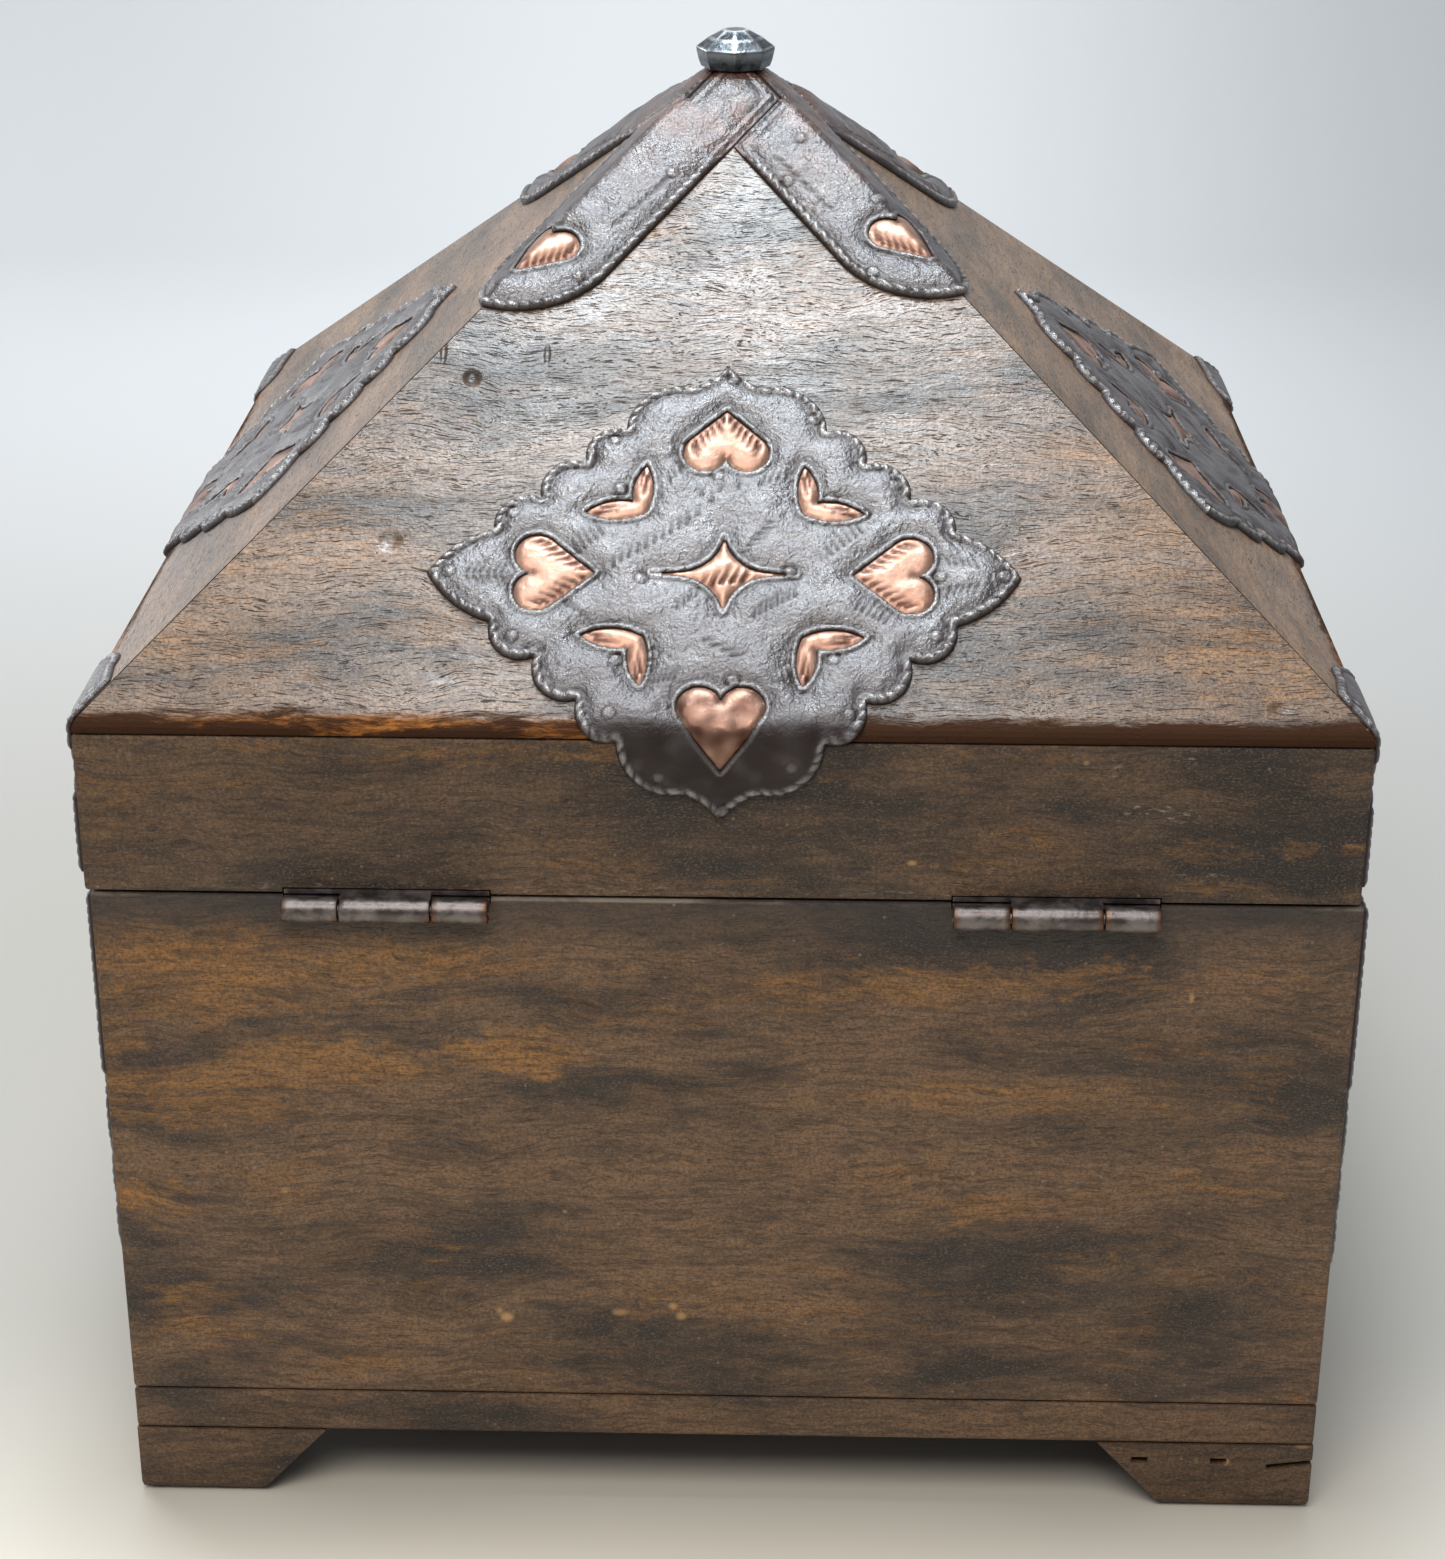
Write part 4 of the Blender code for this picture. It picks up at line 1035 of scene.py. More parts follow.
SLOPE_BACK = Vector((0, sin(PITCH), cos(PITCH)))
SLOPE_RIGHT = Vector((sin(PITCH), 0, cos(PITCH)))
PEAK = Vector((0, 0, Z_PEAK))
RIDGE_DOWN = (Vector((HALF, HALF, Z_EAVE)) - PEAK).normalized()
EAVE = Fold(Vector((0, HALF, Z_EAVE)), Vector((-1, 0, 0)), SLOPE_BACK, Vector((0, 1, 0)),
            EAVE_WEAR)
RIDGE = Fold(PEAK, RIDGE_DOWN, SLOPE_BACK, SLOPE_RIGHT, HIP_WEAR)
print("bends: eave", round(EAVE.radius, 2), "mm round, ridge", round(RIDGE.radius, 2), "mm")


def bent(bm, fold):
    """Cuts the large flat faces where they bend, then bends every point."""
    for line in fold.lines():
        large = [face for face in bm.faces
                 if min(vert.co.y for vert in face.verts) < line < max(
                     vert.co.y for vert in face.verts) and face.calc_area() > LARGE_FACE]
        parts = {item for face in large for item in (*face.verts, *face.edges)}
        bmesh.ops.bisect_plane(bm, geom=large + list(parts), dist=1e-5,
                               plane_co=(0, line, 0), plane_no=(0, 1, 0))
    bmesh.ops.triangulate(bm, faces=[face for face in bm.faces if len(face.verts) > 4])
    for vert in bm.verts:
        vert.co = fold.at(*vert.co)
    return bm


# %% [markdown]
# ## Putting a piece in its place
# A finished piece goes from millimetres to metres and is turned about the middle of the lid,
# so one drawing serves all four sides. The object itself stays at the origin. It rides on the
# body or the lid, and it takes the place of one plain solid of the frame.

# %% Hanging a piece
def hang(bm, name, material, body, middle, turn, node, smooth=0.9):
    """Makes a piece in place of a node of the frame, turned about the middle of the lid."""
    bmesh.ops.scale(bm, verts=bm.verts, vec=(MM, MM, MM))
    bmesh.ops.rotate(bm, verts=bm.verts, cent=(0, 0, 0), matrix=Matrix.Rotation(turn, 3, "Z"))
    bmesh.ops.translate(bm, verts=bm.verts, vec=middle)
    bmesh.ops.recalc_face_normals(bm, faces=bm.faces)
    mesh = bpy.data.meshes.new(name)
    bm.to_mesh(mesh)
    bm.free()
    mesh.materials.append(material)
    for polygon in mesh.polygons:
        polygon.use_smooth = True
    mesh.set_sharp_from_angle(angle=smooth)
    piece = bpy.data.objects.new(name, mesh)
    bpy.context.scene.collection.objects.link(piece)
    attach(piece, body)
    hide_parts(node)
    print(name, len(mesh.polygons), "faces")


# %% [markdown]
# ## Tool marks
# A chisel stroke is a short line that dents the sheet, a nail head is a small dome in a ring
# of dirt, and the bead along an edge is chased with slanted cuts, so that it looks like rope.

# %% Strokes, nail heads and beads
def stroke_depth(points, strokes, width):
    """How deep each point lies in the nearest stroke, from 0 to 1, deepest at its start."""
    depth = np.zeros(len(points))
    for start, end in strokes:
        start, way = np.array(start), np.array(end) - np.array(start)
        offset = points - start
        share = np.clip(offset @ way / (way @ way), 0, 1)
        away = np.hypot(*(offset - share[:, None] * way).T)
        depth = np.maximum(depth, (1 - 0.55 * share) * np.exp(-(away / width) ** 2))
    return depth


def hatch(first, last, count, lean, length):
    """Parallel strokes in a row. lean is their direction in degrees from +u."""
    reach = Vector((cos(radians(lean)), sin(radians(lean)))) * length
    strokes = []
    for index in range(count):
        share = index / max(1, count - 1)
        start = Vector(first).lerp(Vector(last), share)
        length_here = reach * (0.8 + 0.4 * ((index * 7) % 5) / 5)
        strokes.append((tuple(start), tuple(start + length_here)))
    return strokes


NAIL_RADIUS, NAIL_RISE = 1.05, 0.13
NAIL_RING, NAIL_SINK = 0.22, 0.16


def nail_shapes(points, nails):
    """Height and dirt of the nail heads."""
    height, dirt = np.zeros(len(points)), np.zeros(len(points))
    for nail in nails:
        away = np.hypot(*(points - np.array(nail)).T)
        height += NAIL_RISE * np.sqrt(np.clip(1 - (away / NAIL_RADIUS) ** 4, 0, 1))
        ring = np.exp(-((away - NAIL_RADIUS - NAIL_RING) / NAIL_RING) ** 2)
        height -= NAIL_SINK * ring
        dirt = np.maximum(dirt, ring)
    return height, dirt


ROPE_TWIST = 2.5


def rope(distance, travel, width):
    """Height of a bead and of the slanted cuts across it, both from 0 to 1."""
    bead = np.sqrt(np.clip(1 - ((distance - width / 2) / (width / 2)) ** 2, 0, 1))
    wander = np.array([noise.noise((s / 9.0, 3.1, 0.4)) for s in travel])
    cut = 0.5 + 0.5 * np.sin(2 * pi * (travel + 0.9 * distance) / ROPE_TWIST + 5 * wander)
    return bead, cut ** 3


# %% [markdown]
# ## The medallions
# One medallion lies on each slope and folds down over the eave. It has four pointed leaves,
# three scallops and a broader lobe between each pair, and nine holes that show the copper. The
# iron and the copper come from one drawing. Every side gets its own hammer marks.

# %% The drawing of a medallion
DRAWN_HALF, DRAWN_REACH, DRAWN_FALL = 55.0, 46.5, 50.2
MEDALLION_UP = 32.0
NOTCHES = ((43.0, 9.5), (34.5, 16.3), (26.3, 24.3), (19.0, 31.5))
SHOULDER = (7.0, 41.0)
STAR = (10.0, 8.0)
STAR_SLIT = 13.4
SPRIG_TIPS = ((26.1, 13.1), (14.8, 23.5))
SPRIG_ELBOW = (14.6, 13.1)
SPRIG_CROOK = (17.2, 15.6)
HEART_WIDE = 16.2
SIDE_HEART = (23.8, 38.8)
TOP_HEART = (35.7, 22.2)
LOW_HEART = (39.6, 23.4)
COPPER_LAP = 1.6


def medallion_edge():
    """Four pointed leaves, with three scallops and a broader lobe between each pair."""
    quarter = [(DRAWN_HALF, 0)] + arc((DRAWN_HALF, 0), NOTCHES[0], 0.10)
    for start, end in zip(NOTCHES, NOTCHES[1:]):
        quarter += arc(start, end, 0.30)
    quarter += arc(NOTCHES[-1], SHOULDER, 0.24)
    quarter += arc(SHOULDER, (0, DRAWN_REACH), -0.10)
    return four_ways(quarter, DRAWN_FALL / DRAWN_REACH)


def sprig(side, up):
    """Two leaves on one stalk, mirrored into one of the four quarters."""
    outer, upper = SPRIG_TIPS
    outline = [upper] + arc(upper, SPRIG_ELBOW, 0.11) + arc(SPRIG_ELBOW, outer, 0.14)
    outline += arc(outer, SPRIG_CROOK, 0.12) + arc(SPRIG_CROOK, upper, 0.12)[:-1]
    return [(side * u, up * v) for u, v in outline]


def star():
    """A star with hollow sides. Its two level points run on as narrow slits."""
    wide, high = STAR
    quarter = [(STAR_SLIT, 0), (wide - 1.2, 0.42)]
    quarter += arc(quarter[-1], (0, high), -0.18)
    return four_ways(quarter)


def medallion_holes():
    """A star, four hearts and four sprigs."""
    near, far = SIDE_HEART
    holes = [star()]
    holes += [heart((side * near, 0), (side * far, 0), HEART_WIDE) for side in (-1, 1)]
    for way, (point, lobes) in ((1, TOP_HEART), (-1, LOW_HEART)):
        holes.append(heart((0, way * point), (0, way * lobes), HEART_WIDE))
    return holes + [sprig(side, up) for side in (-1, 1) for up in (-1, 1)]


def lifted(outline):
    """Moves the middle of the drawing up the slope."""
    return [(u, v + MEDALLION_UP) for u, v in outline]


def copper_edge():
    """The eight-cornered sheet of copper, which laps under the iron all round the holes."""
    lap, short = COPPER_LAP, HEART_WIDE / 2
    far, top, low = SIDE_HEART[1] + lap, TOP_HEART[0] + lap, -LOW_HEART[0] - lap
    return [(far, short), (short, top), (-short, top), (-far, short), (-far, -short),
            (-short, low), (short, low), (far, -short)]


MEDALLION = Drawing([lifted(outline) for outline in [medallion_edge()] + medallion_holes()])
MEDALLION_HOLES = Drawing([lifted(outline) for outline in medallion_holes()])
print("medallion drawn with", len(MEDALLION.starts), "edge points")

# %% [markdown]
# ## Nails and chisel strokes of a medallion
# The small nails and the groups of short strokes don't follow the drawing: the smith set them
# by eye. They are listed as the photograph shows them on the back. A row of strokes is given
# by its first and last start, how many there are, which way they lean, and how long they are.

# %% Nails and chisel strokes
NAILS = ((-21.1, 60.7), (16.5, 65.8), (-19.6, 50.0), (19.7, 48.2), (-39.6, 44.6), (31.8, 51.4),
         (-50.8, 32.0), (51.9, 32.1), (39.9, 31.8), (-15.2, 30.7), (12.2, 32.6), (-1.5, 53.2),
         (-38.5, 18.3), (39.2, 19.2), (-19.2, 13.7), (20.4, 14.3), (2.1, 9.6), (-20.2, 2.6),
         (1.2, 74.6), (23.3, 2.9), (-11.2, -8.7), (0.5, -15.3), (13.0, -6.5))
MARKS = (hatch((-27.0, 36.2), (-22.6, 39.8), 5, 118, 3.4)
         + hatch((20.0, 36.0), (25.6, 40.8), 6, 118, 3.0)
         + hatch((24.4, 24.6), (29.6, 21.6), 6, 58, 3.6)
         + hatch((-28.5, 24.6), (-24.4, 21.8), 4, 120, 3.0)
         + hatch((5.8, 22.6), (13.0, 27.0), 8, 84, 2.6)
         + hatch((-8.4, 24.2), (-5.0, 27.0), 4, 80, 2.4)
         + hatch((-20.6, 33.0), (-7.0, 42.2), 10, 84, 2.5)
         + hatch((3.4, 36.6), (8.2, 42.6), 6, 12, 2.4)
         + hatch((-4.9, 44.2), (-2.6, 47.0), 2, 84, 2.4)
         + hatch((-4.6, 48.6), (2.6, 50.2), 3, 86, 2.0)
         + hatch((-10.6, 51.8), (-8.2, 53.6), 3, 100, 2.4)
         + hatch((6.6, 51.0), (11.4, 52.6), 4, 76, 2.8)
         + hatch((-12.4, 9.0), (-8.6, 9.6), 5, 76, 2.4)
         + hatch((9.4, 9.2), (12.8, 9.4), 4, 104, 2.4)
         + hatch((-3.4, 17.6), (1.8, 14.4), 4, 8, 2.6)
         + hatch((-47.5, 31.6), (-41.0, 31.8), 6, 62, 2.4)
         + hatch((-47.5, 30.8), (-41.0, 31.0), 6, -62, 2.4)
         + hatch((41.6, 34.4), (47.0, 33.4), 5, 112, 2.4)
         + hatch((41.6, 29.4), (47.0, 30.2), 5, -112, 2.4))
print(len(NAILS), "nails and", len(MARKS), "strokes on a medallion")

# %% [markdown]
# ## The relief of the iron
# The height of a point depends on how far it is from the nearest edge. The outer edge has a
# bold bead that is cut like rope, and each hole has a low lip. Behind them lies a groove, and
# then the sheet swells into a cushion with hammer marks of three sizes. The crests and the
# nail heads are polished. Dirt lies in the groove, in the cuts and in the strokes, and the part
# that is folded over the eave is darkened as painted shade through the same value.

# %% Height of the hammered sheet
BEAD, LIP = 1.85, 1.05
BEAD_TOP, BEAD_CUT = 1.64, 0.54
LIP_TOP, LIP_CUT = 1.42, 0.10
BEAD_FEET, LIP_FEET = (0.98, 0.45), (1.06, 1.00)
CUSHION_LOW, CUSHION_SWELL, CUSHION_RUN = 0.94, 0.78, 1.7
HAMMERED = ((0.28, 10.0, 0), (0.16, 4.2, 1), (0.05, 2.0, 6))
STROKE_WIDE, STROKE_DEEP = 0.36, 0.24
SHEET_LIMIT, FACE_LIMIT = 2.1, 1.58
FOLD_RUN, FOLD_FLATTER, FOLD_LIFT = 2.5, 0.44, 0.42
BEAD_BEGINS = 8.0


def hammered_height(points, outer, distance, width, bead, cut, patchy, seed):
    """A bead or a lip beside an edge, and a cushion beyond it."""
    beyond = distance > width / 2
    crest = np.where(outer, BEAD_TOP - BEAD_CUT * cut, LIP_TOP - LIP_CUT * cut) - 0.14 * patchy
    base = np.where(outer, np.where(beyond, *BEAD_FEET), np.where(beyond, *LIP_FEET))
    rise = 1 - np.exp(-np.clip(distance - width, 0, None) / CUSHION_RUN)
    cushion = CUSHION_LOW + CUSHION_SWELL * rise
    cushion += sum(deep * grainy(points, size, seed + shift) for deep, size, shift in HAMMERED)
    return np.where(distance < width, base + (crest - base) * bead, cushion)


# %% Polish and dirt
def polished(points, outer, bead, cut, patchy, domes, seed):
    """Bright crests, faint bright spots on the cushions, and rubbed nail heads."""
    shine = bead ** 3 * np.where(outer, 1.0 - 0.9 * cut, 0.6) * np.clip(
        1.8 * patchy - 0.1, 0, 1)
    shine = np.maximum(shine, 0.30 * np.clip(grainy(points, 3.4, seed + 2) - 0.15, 0, 1))
    return np.maximum(shine, 0.40 * np.clip(domes / NAIL_RISE, 0, 1))


def chased_iron(drawing, nails, marks, seed, rim_limit=None, bead_from=None):
    """The relief of a hammered sheet.

    Below rim_limit the sheet is folded over the eave, and before bead_from it has no bead.
    """
    def relief(points):
        distance, _, which, travel = drawing.near(points)
        outer = which == 0
        width = np.where(outer, BEAD, LIP)
        bead, cut = rope(distance, travel, width)
        valley = np.exp(-((distance - width - 0.1) / 0.38) ** 2)
        if bead_from is not None:
            begun = (points[:, 0] - bead_from) / BEAD_BEGINS
            bead = bead * np.clip(begun, 0.15, 1)
            valley *= np.clip(begun, 0, 1)
        patchy = 0.5 + 0.5 * grainy(points, 5.0, seed + 3)
        depth = stroke_depth(points, marks, STROKE_WIDE)
        domes, rings = nail_shapes(points, nails)
        height = hammered_height(points, outer, distance, width, bead, cut, patchy, seed)
        height += domes - STROKE_DEEP * depth
        shine = polished(points, outer, bead, cut, patchy, domes, seed)
        dirt = np.clip(0.55 * valley + 0.8 * depth + 0.75 * rings
                       + 0.6 * (distance < 0.12) + 0.4 * outer * bead * cut, 0, 1)
        top = np.full(len(points), SHEET_LIMIT)
        if rim_limit is not None:
            top[points[:, 1] < rim_limit] = FACE_LIMIT
            folded = np.clip((rim_limit - points[:, 1]) / FOLD_RUN, 0, 1)
            height = height * (1 - FOLD_FLATTER * folded) + FOLD_LIFT * folded
            # Painted shade: the part folded over the eave is darkened through the dirt value, and
            # its polish is dimmed.
            dirt = np.maximum(dirt, folded * (0.62 + 0.3 * patchy) * (1 - 1.2 * shine))
            shine = shine * (1 - 0.45 * folded)
        return np.minimum(height, top), shine, dirt

    return relief


def iron_underside(drawing):
    """On the wood along its outer edge, and clear of the copper around its holes."""
    def heights(points):
        which = drawing.near(points)[2]
        return np.where(which == 0, EDGE_TOUCH, UNDER_IRON - 0.1)

    return heights


# %% [markdown]
# ## The copper behind the medallions
# One sheet of copper lies behind the holes. It was beaten up into them from behind, so each
# heart swells like a small cushion, and short strokes along its sides are dark with tarnish.
# Where the iron hides it, the sheet is flat, and a few large faces are enough.

# %% Strokes of the copper
def leaf_strokes(point, towards, width, count=7):
    """Strokes inside both straight sides of a heart, along its middle line."""
    point, towards = Vector(point), Vector(towards)
    length = (towards - point).length
    up = (towards - point) / length
    right = Vector((up.y, -up.x))
    lobe = width / 4 * LOBE_PLUMP
    middle = width / 2 - lobe
    rise = length - lobe
    start = atan2(-rise, -middle) + acos(lobe / hypot(middle, rise))
    far = Vector((middle + lobe * cos(start), rise + lobe * sin(start)))
    strokes = []
    for side in (-1, 1):
        for index in range(count):
            share = 0.16 + 0.98 * index / (count - 1)
            x, y = far.x * min(share, 1.04) * 0.90, far.y * share + 0.7
            run = 2.3 if index else 1.3
            begin = point + right * side * x + up * y
            end = begin + up * run - right * 0.28 * side * run
            strokes.append((tuple(begin), tuple(end)))
    return strokes


def sprig_strokes(side, up):
    """Two strokes along each leaf of a sprig."""
    strokes = []
    for tip in SPRIG_TIPS:
        tip, elbow = Vector(tip), Vector(SPRIG_CROOK) * 0.93
        for start, end, shift in ((0.18, 0.55, -0.5), (0.30, 0.72, 0.5)):
            way = elbow - tip
            across = Vector((way.y, -way.x)).normalized() * shift
            ends = [tip + way * share + across for share in (start, end)]
            strokes.append(tuple((side * u, up * v + MEDALLION_UP) for u, v in ends))
    return strokes


near, far = SIDE_HEART
COPPER_MARKS = hatch((-4.4, 29.4), (3.6, 30.6), 5, 62, 3.4)
for side in (-1, 1):
    COPPER_MARKS += leaf_strokes((side * near, MEDALLION_UP), (side * far, MEDALLION_UP),
                                 HEART_WIDE)
    for up in (-1, 1):
        COPPER_MARKS += sprig_strokes(side, up)
COPPER_MARKS += leaf_strokes((0, TOP_HEART[0] + MEDALLION_UP), (0, TOP_HEART[1] + MEDALLION_UP),
                             HEART_WIDE)
print(len(COPPER_MARKS), "strokes in the copper of a medallion")

# %% The copper and the iron of a medallion
SWELL, SWELL_RUN = 0.66, 0.9
COPPER_STROKE_WIDE, COPPER_STROKE_DEEP = 0.56, 0.40


def puffed_copper(holes, marks, seed, dull=None):
    """Copper that swells up into the holes of the iron, with dark strokes."""
    def relief(points):
        inside = holes.holds(points)
        distance = np.where(inside, holes.near(points)[0], 0)
        depth = stroke_depth(points, marks, COPPER_STROKE_WIDE) * inside
        height = GAP + COPPER_THICK + SWELL * (1 - np.exp(-distance / SWELL_RUN))
        height += inside * 0.10 * grainy(points, 3.0, seed) * np.clip(distance, 0, 1)
        height -= COPPER_STROKE_DEEP * depth * np.clip(distance, 0, 1)
        edge = np.where(inside, 0.6 * np.exp(-distance / 0.12), 0.7)
        tarnish = np.zeros(len(points))
        if dull is not None:
            low = inside & (points[:, 1] < dull)
            height += low * 0.18 * grainy(points, 3.4, seed + 5)
            tarnish = low * (0.58 + 0.60 * np.clip(grainy(points, 2.6, seed + 4), -1, 1))
        dirt = np.clip(np.maximum(np.maximum(1.6 * depth ** 1.3, edge), tarnish), 0, 1)
        return height, dirt

    return relief


SIDES = ("back", "left", "front", "right")
PITCH_FINE = 0.42
EAVE_ZONE, DULL_HEART = 3.0, 10.0


def medallion_pieces(side, turn, seed):
    """The iron and the copper of one slope."""
    iron = closed_sheet(lattice(MEDALLION, PITCH_FINE),
                        chased_iron(MEDALLION, NAILS, MARKS, seed, rim_limit=EAVE_ZONE),
                        iron_underside(MEDALLION))
    hang(bent(iron, EAVE), "medallion_iron_" + side, IRON, "lid", LID_MIDDLE, turn,
         "medallion_" + side)
    copper = backed_sheet(lattice(MEDALLION_HOLES, PITCH_FINE),
                          puffed_copper(MEDALLION_HOLES, COPPER_MARKS, seed, DULL_HEART),
                          lifted(copper_edge()), GAP, GAP + COPPER_THICK)
    hang(bent(copper, EAVE), "medallion_hearts_" + side, COPPER, "lid",
         LID_MIDDLE, turn, "medallion_copper_" + side)


for seed, side in enumerate(SIDES):
    medallion_pieces(side, seed * pi / 2, seed)

# %% [markdown]
# ## The straps
# A strap is bent over each ridge near the peak. It ends in a point, and a heart of copper
# shows near that end. A strap is drawn lengthwise: u runs down the ridge from the peak, and v
# runs down the slope on either side.

# %% The drawing of a strap
STRAP_HALF, STRAP_ARCH = 14.5, 22.5
HEART_LONG, HEART_ACROSS, HEART_UP = 13.5, 13.6, 10.2
STRAPS = {"back_right": (79.0, 0), "back_left": (74.5, pi / 2), "front_left": (77.0, pi),
          "front_right": (77.0, -pi / 2)}


def strap_edge(length):
    """A strip with a pointed end, mitred at the peak where it meets the next strap."""
    straight = length - STRAP_ARCH
    bow = 0.31 * STRAP_HALF / hypot(STRAP_ARCH, STRAP_HALF)
    spread = 2 * atan2(HALF, SLOPE_LENGTH)
    slant = STRAP_HALF / tan(spread)
    lap = (STRAP_HALF + GAP) / sin(spread)
    start = GAP / sin(spread)
    outline = [(start + GAP, GAP), (lap, GAP), (lap, 0), (lap + slant, -STRAP_HALF),
               (straight, -STRAP_HALF)]
    outline += arc((straight, -STRAP_HALF), (length, 0), bow)
    outline += arc((length, 0), (straight, STRAP_HALF), bow)
    return outline + [(start + slant, STRAP_HALF)]


def strap_lining(tip):
    """The edge of the copper behind the heart of a strap."""
    half = HEART_ACROSS / 2 + COPPER_LAP
    point, end = tip + COPPER_LAP, tip - HEART_LONG - COPPER_LAP
    waist, blunt = tip - HEART_LONG / 3, half / 3
    return [(point, blunt), (waist, half), (end, half), (end, -half), (waist, -half),
            (point, -blunt)]


# %% The pieces of a strap
def topped(bm, level):
    """Cuts a bent piece off level below the finial."""
    bmesh.ops.bisect_plane(bm, geom=bm.verts[:] + bm.edges[:] + bm.faces[:], dist=1e-5,
                           plane_co=(0, 0, level), plane_no=(0, 0, 1), clear_outer=True)
    bmesh.ops.holes_fill(bm, edges=[edge for edge in bm.edges if edge.is_boundary])
    bmesh.ops.triangulate(bm, faces=[face for face in bm.faces if len(face.verts) > 4])
    return bm


STRAP_NAILS = {"back_right": ((32.2, 9.7), (62.5, 10.6), (30.0, -9.8), (61.0, -10.8)),
               "back_left": ((26.4, -3.2), (33.0, -11.4), (60.2, -11.2), (47.1, 0.0),
                             (58.0, 10.9)),
               "front_left": ((31.0, 9.5), (60.5, 10.8), (29.0, -9.5), (60.0, -10.8)),
               "front_right": ((32.0, 9.9), (61.5, 10.4), (31.0, -9.7), (59.0, -10.9))}


def strap_pieces(corner, length, turn, seed):
    """The iron and the copper of one strap."""
    tip = length - HEART_UP
    hole = heart((tip, 0), (tip - HEART_LONG, 0), HEART_ACROSS)
    drawing = Drawing([strap_edge(length), hole])
    marks = hatch((length - 44, 9.5), (length - 30, 8.5), 7, 160, 2.6)
    marks += hatch((length - 46, -9.5), (length - 31, -8.5), 7, -160, 2.6)
    iron = closed_sheet(lattice(drawing, PITCH_FINE),
                        chased_iron(drawing, STRAP_NAILS[corner], marks, seed, bead_from=20),
                        iron_underside(drawing))
    iron = topped(bent(iron, RIDGE), Z_FLAT + GAP)
    hang(iron, "strap_iron_" + corner, IRON, "lid", LID_MIDDLE, turn,
         "strap_" + corner)
    strokes = leaf_strokes((tip, 0), (tip - HEART_LONG, 0), HEART_ACROSS)
    holes = Drawing([hole])
    copper = backed_sheet(lattice(holes, PITCH_FINE), puffed_copper(holes, strokes, seed + 20),
                          strap_lining(tip), GAP, GAP + COPPER_THICK)
    hang(bent(copper, RIDGE), "strap_heart_" + corner, COPPER, "lid",
         LID_MIDDLE, turn, "strap_copper_" + corner)


for seed, (corner, (length, turn)) in enumerate(STRAPS.items()):
    strap_pieces(corner, length, turn, 10 + seed)

# %% [markdown]
# ## The corner plates
# Thin scalloped plates guard the corners on the two sides. In the photograph they show only
# edge on, so their pattern is made in keeping with the medallions: a beaded edge, nails and
# rows of strokes. Those on the lid bend over the eave, and those on the body lie flat.

# %% Corner plates of the lid
RIM_HEIGHT = 31.45
CORNER_WIDE, CORNER_RISE, CORNER_CLEAR, CORNER_INSET = 30.0, 8.5, 3.2, 0.8
CORNER_FACE = 1.1
PITCH_PLATE = PITCH_FINE * 1.2


def scallops(start, ends, bow, wide=1.0, drop=1.0):
    """A start and the arcs that follow it, with their ends as shares of a width and a drop."""
    points = [start]
    for u, v in ends:
        points += arc(points[-1], (u * wide, -v * drop), bow)
    return points


def corner_edge(hand):
    """The plate of the lid: scallops along its slanting side and a small ear on the slope."""
    drop = RIM_HEIGHT + EAVE_LIP - CORNER_CLEAR
    slant = HALF / SLOPE_LENGTH
    inset = CORNER_INSET
    ends = ((1 / 3, 0.75), (0.6, 0.5), (5 / 6, 0.23))
    points = scallops((inset, -drop), ends, 0.28, CORNER_WIDE, drop) + [(CORNER_WIDE, 0)]
    points += arc(points[-1], (0.6 * CORNER_WIDE, 0.76 * CORNER_RISE), 0.20)
    points += [(inset + CORNER_RISE * slant, CORNER_RISE), (inset, 0), (inset, -0.17 * drop)]
    points += arc(points[-1], (inset, -0.5 * drop), -0.30)
    return [(hand * (u - HALF), v) for u, v in points]


def thin_iron(drawing, nails, marks, seed):
    """The same relief on a thinner plate."""
    thick = chased_iron(drawing, nails, marks, seed)

    def relief(points):
        height, shine, dirt = thick(points)
        return np.clip(0.62 * height + 0.12, 0.3, CORNER_FACE - 0.01), shine, dirt

    return relief


def lid_corner(name, hand, turn, seed):
    """One plate at a lower corner of the lid."""
    drawing = Drawing([corner_edge(hand)])
    nails = [(hand * (u - HALF), v) for u, v in ((4.0, -25.0), (4.5, -4.0), (23.5, -3.0),
                                                 (13.0, -14.5), (8.5, 4.0))]
    marks = [tuple((hand * (u - HALF), v) for u, v in stroke)
             for stroke in hatch((9.0, -6.0), (17.0, -6.0), 6, 70, 2.6)
             + hatch((6.5, -19.0), (10.5, -15.0), 4, 70, 2.4)]
    plate = closed_sheet(lattice(drawing, PITCH_PLATE),
                         thin_iron(drawing, nails, marks, seed), iron_underside(drawing))
    hang(bent(plate, EAVE), name.replace("corner", "corner_iron"), IRON, "lid", LID_MIDDLE,
         turn, name)


CORNERS = ((1, -pi / 2, "corner_right_front"), (-1, -pi / 2, "corner_right_back"),
           (1, pi / 2, "corner_left_back"), (-1, pi / 2, "corner_left_front"))
for seed, (hand, turn, name) in enumerate(CORNERS):
    lid_corner(name, hand, turn, 30 + seed)

# %% [markdown]
# ## The tall corner plates of the body
# The plates of the body are taller, and their free edge steps back below about half of their
# height, as the edge of the picture shows. They lie flat against the side boards, so there is
# nothing to bend: each is made lying down and then stood up.

# %% Corner plates of the body
PLATE_WIDE, PLATE_TALL, PLATE_WAIST, PLATE_STEP = 30.0, 84.5, 37.2, 2.2


